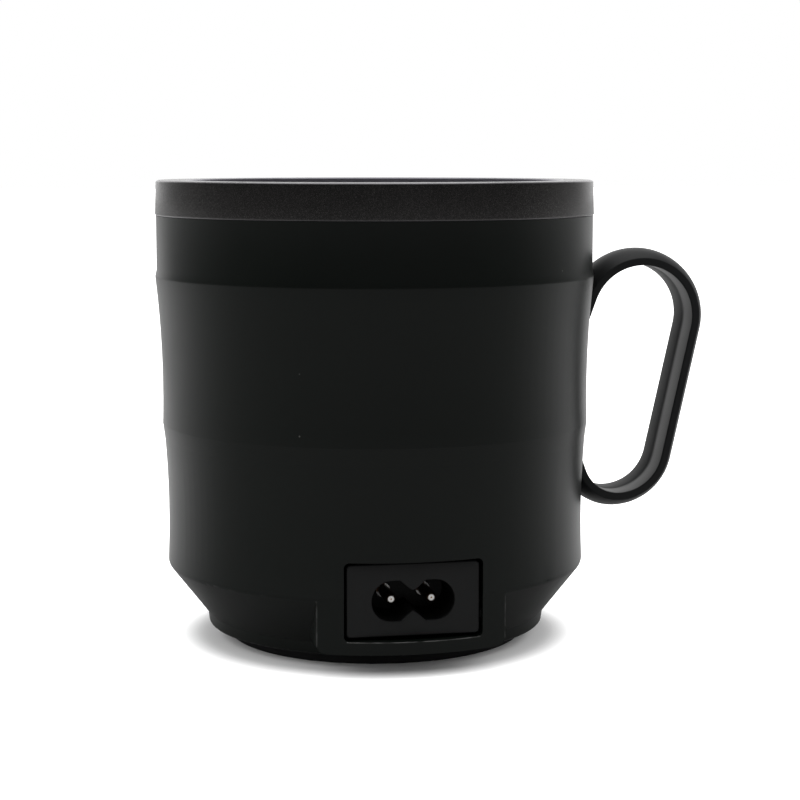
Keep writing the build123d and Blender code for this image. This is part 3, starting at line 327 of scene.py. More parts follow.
class Graph:
    """Node graph of one material, built by calls and expressions."""

    def __init__(self, name: str, owner: bpy.types.ID | None = None) -> None:
        """Starts an empty graph.

        Args:
            name: Name of the new material.
            owner: World to work on in its place.
        """
        self.owner = owner or bpy.data.materials.new(name)
        self.owner.use_nodes = True
        self.tree = self.owner.node_tree
        self.tree.nodes.clear()

    def node(self, kind: str, settings: dict[str, Any] | None = None,
             inputs: dict[str | int, Term] | None = None) -> bpy.types.Node:
        """Adds a node.

        Args:
            kind: Blender's node type.
            settings: Properties of the node, set before its sockets.
            inputs: Values or links of its sockets, by name or place.

        Returns:
            The node.
        """
        node = self.tree.nodes.new(kind)
        for key, value in (settings or {}).items():
            setattr(node, key, value)
        for key, value in (inputs or {}).items():
            socket = node.inputs[key]
            if isinstance(value, Value):
                value = value.socket
            if isinstance(value, Socket):
                self.tree.links.new(value, socket)
            else:
                socket.default_value = value
        return node

    def math(self, operation: str, *terms: Term) -> Value:
        """Adds a Math node over the terms."""
        node = self.node("ShaderNodeMath", {"operation": operation}, dict(enumerate(terms)))
        return Value(self, node.outputs[0])

    def mix(self, share: Term, low: Term, high: Term) -> Socket:
        """Colour that goes from low to high as share goes from zero to one."""
        node = self.node("ShaderNodeMix", {"data_type": "RGBA"}, {0: share, 6: rgba(low), 7: rgba(high)})
        return node.outputs[2]

    @cached_property
    def place(self) -> Socket:
        """Object coordinates, in metres."""
        return self.node("ShaderNodeTexCoord").outputs["Object"]

    def parts(self, whole: Socket) -> list[Value]:
        """Three numbers that make up a colour or a vector.

        Args:
            whole: The colour or the vector.

        Returns:
            The numbers.
        """
        kind = "Color" if whole.type == "RGBA" else "XYZ"
        split = self.node(f"ShaderNodeSeparate{kind}", None, {0: whole})
        return [Value(self, split.outputs[k]) for k in range(3)]

    def axes(self) -> list[Value]:
        """The three Object coordinates in millimetres."""
        return [part * (1 / MM) for part in self.parts(self.place)]

    def noise(self, size: float, detail: float = 3.0, rough: float = 0.5,
              place: Socket | None = None) -> Value:
        """Noise of features of about one size.

        Args:
            size: Size of the features in millimetres.
            detail: Number of finer layers.
            rough: Weight of the finer layers.
            place: Coordinates in metres, when they aren't the object's own.

        Returns:
            The noise, from zero to one.
        """
        inputs = {"Vector": place or self.place, "Scale": 1 / (size * MM), "Detail": detail,
                  "Roughness": rough}
        return Value(self, self.node("ShaderNodeTexNoise", None, inputs).outputs["Fac"])

    def cells(self, size: float) -> tuple[Value, Value, Value]:
        """Cells of about one size, each with numbers of its own.

        Args:
            size: Size of the cells in millimetres.

        Returns:
            Distance from the cell's middle as a share of the size, and two of the cell's numbers.
        """
        node = self.node("ShaderNodeTexVoronoi", None, {"Vector": self.place, "Scale": 1 / (size * MM)})
        first, second, _ = self.parts(node.outputs["Color"])
        return Value(self, node.outputs["Distance"]), first, second

    def rays(self, *kinds: str) -> list[Value]:
        """One for each kind of ray that is being followed, else zero."""
        node = self.node("ShaderNodeLightPath")
        return [Value(self, node.outputs[f"Is {kind} Ray"]) for kind in kinds]

    def bump(self, height: Value, depth: float, strength: float = 1.0) -> Socket:
        """Normal of a relief whose height runs from zero to one over depth millimetres."""
        inputs = {"Strength": strength, "Distance": depth * MM, "Height": height}
        return self.node("ShaderNodeBump", None, inputs).outputs["Normal"]

    def surface(self, **sockets: Term) -> None:
        """Principled shader, linked to the output.

        Args:
            sockets: Values of its sockets, with underscores for spaces in their names.
        """
        inputs = {key.replace("_", " "): rgba(value) if key.endswith("Color") else value
                  for key, value in sockets.items()}
        shader = self.node("ShaderNodeBsdfPrincipled", None, inputs)
        self.node("ShaderNodeOutputMaterial", None, {"Surface": shader.outputs[0]})


def radial(a: Term, b: Term) -> Term:
    """Distance from the origin: sqrt(a^2 + b^2)."""
    return (a * a + b * b) ** 0.5


def scaled(color: Color, factor: float, lift: float = 0.0) -> Color:
    """A colour times a factor, plus a lift, up to white."""
    return tuple(min(1.0, c * factor + lift) for c in color)


def rgba(color: Term) -> Term:
    """A colour of three numbers with full alpha added; anything else as it is."""
    return (*color, 1.0) if isinstance(color, tuple) and len(color) == 3 else color


@dataclass(frozen=True)
class Finish(ABC):
    """Look of one kind of surface."""

    color: Color

    def material(self, name: str) -> bpy.types.Material:
        """New material with this look.

        Args:
            name: Name of the material.

        Returns:
            The material.
        """
        graph = Graph(name)
        self.paint(graph)
        return graph.owner

    @abstractmethod
    def paint(self, graph: Graph) -> None:
        """Builds the look."""


@dataclass(frozen=True)
class Moulded(Finish):
    """Moulded plastic with a fine spark-eroded grain and faint patches where hands polish it."""

    roughness: float = 0.5
    specular: float = 0.4
    cloud: float = 26.0
    patch: float = 0.06
    grain: float = 0.16
    gloss: float = 0.12
    relief: float = 0.006

    def base(self, graph: Graph, cloud: Value) -> Term:
        """Colour under the grain, a little lighter in the patches."""
        return graph.mix(cloud, self.color, scaled(self.color, 1.35, 0.001))

    def paint(self, graph: Graph) -> None:
        """Builds the look.

        Args:
            graph: Graph of the new material.
        """
        cloud = graph.noise(self.cloud, 2.0)
        grain = graph.noise(self.grain, 2.0, 0.6)
        patches = self.roughness - self.patch + cloud * (2 * self.patch)
        graph.surface(Base_Color=self.base(graph, cloud), Roughness=patches + (grain - 0.5) * self.gloss,
                      Specular_IOR_Level=self.specular, Normal=graph.bump(grain, self.relief))


@dataclass(frozen=True)
class CasingPlastic(Moulded):
    """Moulded plastic with a few dust specks, and painted highlight lines along the inlet pad's upright
    edges and the window's sill.
    """

    painted_highlight_color: Color = (0.11, 0.11, 0.108)
    dust_color: Color = (0.16, 0.16, 0.15)
    dust: float = 2.6
    speck: Triple = (0.5, 0.09, 0.04)
    dust_rare: float = 0.985
    pad_half: float = 20.2
    pad_level: Pair = (7.0, 16.5)
    pad_radius: float = 46.9
    pad_weight: float = 0.45
    sill: float = 8.1
    sill_half: float = 14.2
    line: float = 0.16
    highlight_noise: float = 2.5
    highlight_breakup: Pair = (0.3, 0.62)

    def painted_highlight(self, graph: Graph) -> Value:
        """Share of painted highlight on the pad's upright edges and the window's sill.

        Each is a line that fades out on both sides, between its ends, times a coarse noise.

        Args:
            graph: Graph of the new material.

        Returns:
            The share of the painted highlight colour.
        """
        x, y, z = graph.axes()
        low, high = self.pad_level
        outermost = radial(x, y).above(self.pad_radius - 2 * self.line) * y.above(0.5 * self.pad_radius)
        # Painted highlight: pale lines where the pad's edges and the sill would catch light, broken up by a
        # coarse noise.
        highlight_noise = graph.noise(self.highlight_noise).step(*self.highlight_breakup) * outermost
        side = abs(abs(x) - self.pad_half).step(2 * self.line, 0.5 * self.line)
        side = side * z.above(low) * (1 - z.above(high))
        sill = abs(z - self.sill).step(self.line, 0.3 * self.line) * (1 - abs(x).above(self.sill_half))
        return highlight_noise * (side * self.pad_weight + sill)

    def base(self, graph: Graph, cloud: Value) -> Term:
        """Colour under the grain, with the dust on it and the painted edge highlights over both.

        Args:
            graph: Graph of the new material.
            cloud: Noise of the patches.

        Returns:
            The colour.
        """
        away, pick, _ = graph.cells(self.dust)
        dust = away.fade(*self.speck) * pick.above(self.dust_rare)
        dusty = graph.mix(dust, super().base(graph, cloud), self.dust_color)
        # The pale edge lines are painted highlight, laid over the dust.
        return graph.mix(self.painted_highlight(graph), dusty, self.painted_highlight_color)


@dataclass(frozen=True)
class InletPlastic(Finish):
    """Hard moulded plastic, satin on its face and duller inside the recess, where its colour is darkened as
    painted shade.
    """

    recess_shade_color: Color
    depth: Pair = (43.7, 42.8)
    roughness: float = 0.4
    deep_roughness: float = 0.45
    specular: float = 0.4
    cloud: float = 18.0
    grain: float = 0.16
    gloss: float = 0.1
    relief: float = 0.005

    def paint(self, graph: Graph) -> None:
        """Builds the look.

        Args:
            graph: Graph of the new material.
        """
        grain = graph.noise(self.grain, 2.0, 0.6)
        # Painted shade: share of the darker recess colour, rising into the recess.
        painted_recess_shade = graph.axes()[1].step(*self.depth)
        color = graph.mix(graph.noise(self.cloud, 2.0), self.color, scaled(self.color, 1.35))
        duller = painted_recess_shade * (self.deep_roughness - self.roughness)
        graph.surface(Base_Color=graph.mix(painted_recess_shade, color, self.recess_shade_color),
                      Roughness=self.roughness + duller + (grain - 0.5) * self.gloss,
                      Specular_IOR_Level=self.specular, Normal=graph.bump(grain, self.relief))


@dataclass(frozen=True)
class ContactPin(Finish):
    """Plated contact: dull sides whose dark colour is painted shade of the black recess they reflect, a
    painted pale highlight on the tip, a painted dark reflection at its centre and painted glints at the
    root.
    """

    glint_color: Color
    centre_reflection_color: Color = (0.4, 0.22, 0.1)
    shift: float = 4.3
    level: float = 16.2
    painted_highlight: Pair = (0.76, 0.58)
    centre_reflection: Pair = (0.22, 0.12)
    highlight_from: float = 41.2
    root: Pair = (32.3, 33.0)
    glint_fade: float = 0.15
    glint_turn: Pair = (-0.4, -0.55)
    dulled: float = 0.9
    roughness: float = 0.3
    mark: float = 0.4
    gloss: float = 0.16
    relief: float = 0.003

    def paint(self, graph: Graph) -> None:
        """Builds the look.

        Args:
            graph: Graph of the new material.
        """
        x, y, z = graph.axes()
        across, up = abs(x) - self.shift, z - self.level
        from_axis = radial(across, up)
        # Painted highlight: a pale disc on the domed tip.
        tip = from_axis.step(*self.painted_highlight) * y.above(self.highlight_from)
        # Painted reflection: a dark dot at the middle of the tip.
        centre_reflection = from_axis.step(*self.centre_reflection) * tip
        low, high = self.root
        # Painted glints: pale marks on two opposite sides of the pin's root.
        root_glints = (across * x / abs(x) * up).step(*self.glint_turn)
        root_glints = root_glints * y.step(low, low + self.glint_fade) * y.step(high, high - self.glint_fade)
        marks = graph.noise(self.mark, 4.0)
        # The pale colour carries the painted tip highlight and the painted root glints; the metal is dulled
        # under them.
        pale = graph.mix(tip + root_glints, self.color, self.glint_color)
        graph.surface(Base_Color=graph.mix(centre_reflection, pale, self.centre_reflection_color),
                      Metallic=1 - (tip + root_glints) * self.dulled,
                      Roughness=self.roughness + (marks - 0.5) * self.gloss,
                      Normal=graph.bump(marks, self.relief))


@dataclass(frozen=True)
class FlakePaint(Finish):
    """Dark paint of metal flakes, each tilted its own way, with painted edge highlights and a painted lit
    bore.
    """

    flake_color: Color
    flake: float = 0.09
    flake_rare: float = 5.0
    flake_share: float = 0.75
    cloud: float = 14.0
    cloud_share: float = 0.12
    roughness: float = 0.42
    gloss: float = 0.16
    relief: Pair = (0.006, 0.6)
    metallic: Pair = (0.93, 0.07)
    clear_coat: Pair = (0.3, 0.14)
    bore_light_color: Color = (0.3, 0.29, 0.33)
    bore: Pair = (42.4, 42.2)
    painted_highlight_color: Color = (0.42, 0.41, 0.43)
    edge_radius: float = 48.35
    crest: Triple = (0.8, 102.3, 102.55)
    lower_edge: Triple = (0.45, 95.28, 95.02)
    highlight_breakup: Pair = (0.6, 0.6)

    def paint(self, graph: Graph) -> None:
        """Builds the look.

        Args:
            graph: Graph of the new material.
        """
        _, tone, tilt = graph.cells(self.flake)
        cloud = graph.noise(self.cloud, 2.0)
        bright = (tone ** self.flake_rare) * self.flake_share + cloud * self.cloud_share
        x, y, z = graph.axes()
        radius = radial(x, y)
        # Painted highlight: pale lines on the outer crest and the lower edge, where their rounds would catch
        # light.
        edge = z.fade(*self.crest) + z.fade(*self.lower_edge)
        painted_highlight = edge * radius.above(self.edge_radius) * (self.highlight_breakup[0] + cloud * self.highlight_breakup[1])
        flakes = graph.mix(bright, self.color, self.flake_color)
        coat = graph.mix(painted_highlight, flakes, self.painted_highlight_color)
        (metal, by_tone), (clear, clear_roughness) = self.metallic, self.clear_coat
        # Painted light: the bore's wall takes a lighter copy of the paint, as if lit from above.
        graph.surface(Base_Color=graph.mix(radius.step(*self.bore), coat, self.bore_light_color),
                      Metallic=metal + tone * by_tone, Roughness=self.roughness + (tilt - 0.5) * self.gloss,
                      Coat_Weight=clear, Coat_Roughness=clear_roughness,
                      Normal=graph.bump(tilt, *self.relief))


class Lay(Enum):
    """Direction in which a metal's fine working marks run."""

    ROUND = "round"
    EVEN = "even"


@dataclass(frozen=True)
class Metal(Finish):
    """Bare metal with turned or even working marks."""

    roughness: float = 0.3
    lay: Lay = Lay.EVEN
    mark: float = 0.25
    cloud: float = 9.0
    gloss: Pair = (0.22, 0.1)
    relief: float = 0.004

    def marks(self, graph: Graph) -> Value:
        """Noise that keeps its value round the pot's axis, or runs all ways.

        Args:
            graph: Graph of the new material.

        Returns:
            The noise.
        """
        if self.lay is Lay.EVEN:
            return graph.noise(self.mark, 4.0)
        x, y, z = graph.axes()
        along = graph.node("ShaderNodeCombineXYZ", None, {0: radial(x, y) * MM, 1: z * MM}).outputs[0]
        return graph.noise(self.mark, 4.0, place=along)

    def paint(self, graph: Graph) -> None:
        """Builds the look.

        Args:
            graph: Graph of the new material.
        """
        marks, cloud = self.marks(graph), graph.noise(self.cloud, 2.0)
        color = graph.mix(cloud * 0.6 + marks * 0.4, scaled(self.color, 0.78), self.color)
        by_marks, by_cloud = self.gloss
        graph.surface(Base_Color=color, Metallic=1.0,
                      Roughness=self.roughness + (marks - 0.5) * by_marks + (cloud - 0.5) * by_cloud,
                      Normal=graph.bump(marks, self.relief))


@dataclass(frozen=True)
class Polished(Finish):
    """Polished plastic, glass-like on top, with faint ripples."""

    roughness: float = 0.12
    specular: float = 0.5
    alpha: float = 1.0
    ripple: float = 3.0
    gloss: float = 0.06
    relief: float = 0.004

    def paint(self, graph: Graph) -> None:
        """Builds the look.

        Args:
            graph: Graph of the new material.
        """
        ripple = graph.noise(self.ripple, 2.0)
        graph.surface(Base_Color=graph.mix(ripple, self.color, scaled(self.color, 1.2, 0.001)),
                      Roughness=self.roughness + (ripple - 0.5) * self.gloss,
                      Specular_IOR_Level=self.specular, Alpha=self.alpha,
                      Normal=graph.bump(ripple, self.relief))


@dataclass(frozen=True)
class Felt(Finish):
    """Pressed glass felt: short fibres, dull and soft."""

    fibre: float = 0.5
    roughness: Pair = (0.75, 0.2)
    sheen: float = 0.3
    relief: float = 0.12

    def paint(self, graph: Graph) -> None:
        """Builds the look.

        Args:
            graph: Graph of the new material.
        """
        fibre, (rough, by_fibre) = graph.noise(self.fibre, 6.0, 0.7), self.roughness
        graph.surface(Base_Color=graph.mix(fibre, scaled(self.color, 0.6), self.color),
                      Roughness=rough + fibre * by_fibre, Sheen_Weight=self.sheen,
                      Normal=graph.bump(fibre, self.relief))


@dataclass(frozen=True)
class Circuit(Finish):
    """Solder mask over copper tracks that run in straight lanes."""

    track: Color
    pitch: float = 1.27
    edge: Pair = (0.42, 0.5)
    area: float = 6.0
    roughness: Pair = (0.32, 0.08)
    relief: float = 0.03

    def paint(self, graph: Graph) -> None:
        """Builds the look.

        Args:
            graph: Graph of the new material.
        """
        x, y, z = graph.axes()
        turn = graph.cells(self.area)[1].above(0.5)
        across, half = x * turn + (y + z) * (1 - turn), self.pitch / 2
        track = (graph.math("PINGPONG", across, half) / half).step(*self.edge)
        rough, by_track = self.roughness
        graph.surface(Base_Color=graph.mix(track, self.color, self.track),
                      Roughness=rough + track * by_track, Normal=graph.bump(track, self.relief))


@dataclass(frozen=True)
class Rubber(Finish):
    """Dull rubber or silicone sleeve with a fine bloom."""

    roughness: float = 0.7
    specular: float = 0.3
    bloom: float = 4.0
    gloss: float = 0.2
    grain: float = 0.3
    relief: float = 0.01

    def paint(self, graph: Graph) -> None:
        """Builds the look.

        Args:
            graph: Graph of the new material.
        """
        bloom = graph.noise(self.bloom, 4.0)
        graph.surface(Base_Color=graph.mix(bloom, self.color, scaled(self.color, 1.5, 0.004)),
                      Roughness=self.roughness + (bloom - 0.5) * self.gloss,
                      Specular_IOR_Level=self.specular,
                      Normal=graph.bump(graph.noise(self.grain, 2.0), self.relief))


FINISHES: dict[str, Finish] = {
    "black_body": CasingPlastic((0.0022, 0.0034, 0.0026), 0.33, 0.35),
    "gunmetal": FlakePaint((0.034, 0.0325, 0.0325), (0.23, 0.222, 0.217)),
    "handle_grey": Moulded((0.0085, 0.009, 0.0095), 0.48, specular=0.26),
    # The second colour of inlet_black is painted shade inside the recess.
    "inlet_black": InletPlastic((0.0075, 0.0078, 0.008), (0.0012, 0.0012, 0.0012)),
    # contact_nickel: the dark first colour is painted shade of the recess seen in the sides, and the pale
    # second is the painted tip highlight and root glints.
    "contact_nickel": ContactPin((0.09, 0.055, 0.035), (0.96, 0.95, 0.93)),
    "steel": Metal((0.55, 0.55, 0.56), 0.32),
    "foot_rubber": Rubber((0.005, 0.005, 0.0055), 0.6),
    "well_aluminium": Metal((0.72, 0.72, 0.73), 0.34, Lay.ROUND),
    "heater_sheath": Metal((0.42, 0.41, 0.4), 0.4),
    "felt": Felt((0.75, 0.73, 0.68)),
    "shield_metal": Metal((0.62, 0.62, 0.63), 0.36),
    "sensor_glass": Polished((0.45, 0.2, 0.08)),
    "fuse_can": Metal((0.6, 0.58, 0.52), 0.3),
    "board_green": Circuit((0.012, 0.07, 0.03), (0.03, 0.16, 0.06)),
    "relay_case": Polished((0.04, 0.1, 0.35), 0.25),
    "transformer_tape": Moulded((0.6, 0.45, 0.08), 0.4),
    "capacitor_sleeve": Polished((0.02, 0.03, 0.08), 0.25),
    "fuse_glass": Polished((0.55, 0.55, 0.52), 0.15),
    "connector_ivory": Moulded((0.7, 0.66, 0.52), 0.4),
    "lead_blue": Rubber((0.03, 0.08, 0.35), 0.45),
    "lead_red": Rubber((0.4, 0.02, 0.02), 0.45),
    "cable_grey": Rubber((0.3, 0.3, 0.32), 0.45),
    "panel_gloss": Polished((0.006, 0.006, 0.007), 0.14),
    "smoked_window": Polished((0.01, 0.009, 0.009), 0.06, alpha=0.5),
    "display_black": Moulded((0.03, 0.03, 0.03), 0.3),
    "switch_metal": Metal((0.6, 0.6, 0.6), 0.25),
    "key_grey": Moulded((0.07, 0.07, 0.075), 0.4),
    "pot_aluminium": Metal((0.74, 0.74, 0.75), 0.3, Lay.ROUND),
    "bail_steel": Metal((0.66, 0.66, 0.67), 0.16),
}


# Pieces


@dataclass
class Dresser:
    """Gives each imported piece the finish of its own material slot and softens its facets."""

    nodes: dict[str, bpy.types.Object]
    record: dict[str, Any]
    crease: float = 28.0
    made: dict[str, bpy.types.Material] = field(default_factory=dict)

    def material(self, slot: str) -> bpy.types.Material:
        """Material of a slot, built on first use.

        Args:
            slot: Name of the slot.

        Returns:
            The material.
        """
        if slot not in self.made:
            self.made[slot] = FINISHES[slot].material(slot)
        return self.made[slot]

    def dress(self, name: str, slot: str) -> None:
        """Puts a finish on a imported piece, and welds its triangles for shading.

        Args:
            name: Node of the piece.
            slot: Material slot that it takes its finish from.
        """
        obj = self.nodes[name]
        obj.data.materials.clear()
        obj.data.materials.append(self.material(slot))
        shade_smooth(obj.data)
        obj.modifiers.new("weld", "WELD").merge_threshold = 1e-6
        obj.modifiers.new("crease", "EDGE_SPLIT").split_angle = math.radians(self.crease)
        log.info("dressed %s in %s", name, slot)

    def add(self, name: str, stacks: Stacks, slot: str, *stands_for: str, body: str = "casing",
            crease: float = 32.0) -> None:
        """Makes a piece, gives it a finish and a body to ride on, and hides what it stands for.

        Args:
            name: Name of the piece.
            stacks: Its closed skins.
            slot: Material slot that it takes its finish from.
            stands_for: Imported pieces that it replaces.
            body: Body that carries it.
            crease: Angle in degrees above which an edge stays hard.
        """
        obj = mesh_from_stacks(name, stacks, crease)
        obj.data.materials.append(self.material(slot))
        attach(obj, body)
        if stands_for:
            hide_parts(*stands_for)
        log.info("built %s on %s in %s", name, body, slot)

    def dress_all(self) -> None:
        """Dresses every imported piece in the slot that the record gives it."""
        for part in self.record["subparts"]:
            self.dress(part["node"], part["material_slot"])


class Piece(ABC):
    """Sub-assembly that is made anew, with its sizes."""

    @abstractmethod
    def build(self, dresser: Dresser) -> None:
        """Works out the forms and hands them to the dresser."""


@dataclass
class CollarRing(Piece):
    """Metal ring round the mouth: drafted skirt, rounded crest, bore, ledge for the pot and spigot."""

    foot: float = 94.9
    top: float = 102.7
    foot_radius: float = 49.1
    top_radius: float = 48.8
    mouth: float = 41.9
    seat: float = 97.4
    ledge_radius: float = 38.4
    ledge_under: float = 95.4
    spigot: Pair = (43.9, 46.5)
    spigot_foot: float = 92.4
    crest_round: float = 0.6
    edge_round: float = 0.5
    corner_round: float = 0.15

    def build(self, dresser: Dresser) -> None:
        """Turns the ring's closed section about the pot's axis.

        Args:
            dresser: Makes and finishes the pieces.
        """
        (bore, outer), small = self.spigot, self.corner_round
        section = rounded_polygon([
            (self.foot_radius, self.foot, self.edge_round), (self.top_radius, self.top, self.crest_round),
            (self.mouth, self.top, self.edge_round), (self.mouth, self.seat, small),
            (self.ledge_radius, self.seat, small), (self.ledge_radius, self.ledge_under, small),
            (bore, self.ledge_under, 0), (bore, self.spigot_foot, small), (outer, self.spigot_foot, small),
            (outer, self.foot, 0)], 9)
        dresser.add("collar_turned", [(revolve(section), True)], "gunmetal", "collar_ring")


@dataclass
class FootRing(Piece):
    """Rubber ring that the pot stands on: a lip close under the casing's edge and a narrower tread."""

    lip: float = 36.0
    lip_foot: float = 2.3
    tread_top: float = 1.9
    tread: float = 33.4
    inner: float = 31.0
    height: float = 2.9
    tread_round: float = 0.7
    lip_round: float = 0.35
    step_round: float = 0.3
    inner_round: float = 0.25

    def build(self, dresser: Dresser) -> None:
        """Turns the foot's closed section about the pot's axis.

        Args:
            dresser: Makes and finishes the pieces.
        """
        section = rounded_polygon([
            (self.inner, 0.0, self.inner_round), (self.tread, 0.0, self.tread_round),
            (self.tread, self.tread_top, self.step_round), (self.lip, self.lip_foot, self.lip_round),
            (self.lip, self.height, 0), (self.inner, self.height, 0)], 9)
        dresser.add("foot_turned", [(revolve(section), True)], "foot_rubber", "foot_ring")


@dataclass
class InnerPot(Piece):
    """Spun pot that lifts out: rounded floor, thin wall, flat rim and two ears for the bail."""

    bottom: float = 30.3
    outer: float = 37.0
    bore: float = 36.0
    rim_radius: float = 41.3
    rim_foot: float = 97.6
    rim_top: float = 98.6
    floor_round: float = 4.0
    neck_round: float = 0.2
    lip_round: float = 0.3
    ear_near: float = 37.2
    ear_far: float = 38.1
    ear_half: float = 1.9
    ear_sink: float = 0.5
    ear_edge: float = 0.12
    pivot: float = 99.7
    hole: float = 1.02

    def ear(self, side: int) -> Points:
        """Loops of one ear: a tab with a round top and a hole, as a ring of six outlines.

        The tab's outline lies at ear_half from the hole's centre above it, and below it on the nearer of
        the upright side and the level foot.

        Args:
            side: One for the ear at +X, minus one for the other.

        Returns:
            The loops.
        """
        a = full_turn(64)
        c, s = np.abs(np.cos(a)) + 1e-9, np.sin(a)
        depth = self.pivot - self.rim_top + self.ear_sink
        below = np.minimum(self.ear_half / c, depth / np.maximum(-s, 1e-9))
        tab = np.where(s >= 0, self.ear_half, below)
        rows = [(self.hole, self.ear_near), (tab - self.ear_edge, self.ear_near),
                (tab, self.ear_near + self.ear_edge), (tab, self.ear_far - self.ear_edge),
                (tab - self.ear_edge, self.ear_far), (self.hole, self.ear_far)]
        loops = upright_loops([(polar_ring(a, r) + (0, self.pivot), side * x) for r, x in rows])
        return loops[..., (1, 0, 2)]

    def build(self, dresser: Dresser) -> None:
        """Turns the pot's section about the axis, closed at its two poles, and adds the ears.

        Args:
            dresser: Makes and finishes the pieces.
        """
        wall, lip = self.outer - self.bore, self.lip_round
        section = rounded_polygon([
            (0.0, self.bottom, 0), (self.outer, self.bottom, self.floor_round),
            (self.outer, self.rim_foot, self.neck_round), (self.rim_radius, self.rim_foot, lip),
            (self.rim_radius, self.rim_top, lip), (self.bore, self.rim_top, lip),
            (self.bore, self.bottom + wall, self.floor_round - wall), (0.0, self.bottom + wall, 0)], 9)
        stacks = [(revolve(section), False)] + [(self.ear(side), True) for side in (-1, 1)]
        dresser.add("pot_spun", stacks, "pot_aluminium", "inner_pot", body="pot")


@dataclass
class Bail(Piece):
    """Wire bail that lies on the rim, its ends turned in through the pot's ears."""

    wire: float = 0.95
    reach: float = 39.5
    bend: float = 1.2
    tip: float = 36.2
    level: float = 99.7

    def build(self, dresser: Dresser) -> None:
        """Carries a round wire along the half hoop, its two bends and its straight ends.

        Args:
            dresser: Makes and finishes the pieces.
        """
        middle = math.sqrt((self.reach - self.bend) ** 2 - self.bend ** 2)
        turn = math.degrees(math.atan2(self.bend, middle))
        end = np.stack([np.linspace(self.tip, middle, 9)[:-1], np.zeros(8)], axis=-1)
        bend = arc((middle, self.bend), self.bend, -90, 90 + turn, 10)[:-1]
        hoop = arc((0, 0), self.reach, turn, 180 - 2 * turn, 150)
        half = np.concatenate([end, bend])
        flat = np.concatenate([half, hoop, half[::-1] * (-1, 1)])
        path = np.column_stack([flat, np.full(len(flat), self.level)])
        wire = [(tube(path, self.wire), False)]
        dresser.add("bail_wire", wire, "bail_steel", "bail_handle", body="bail", crease=60.0)


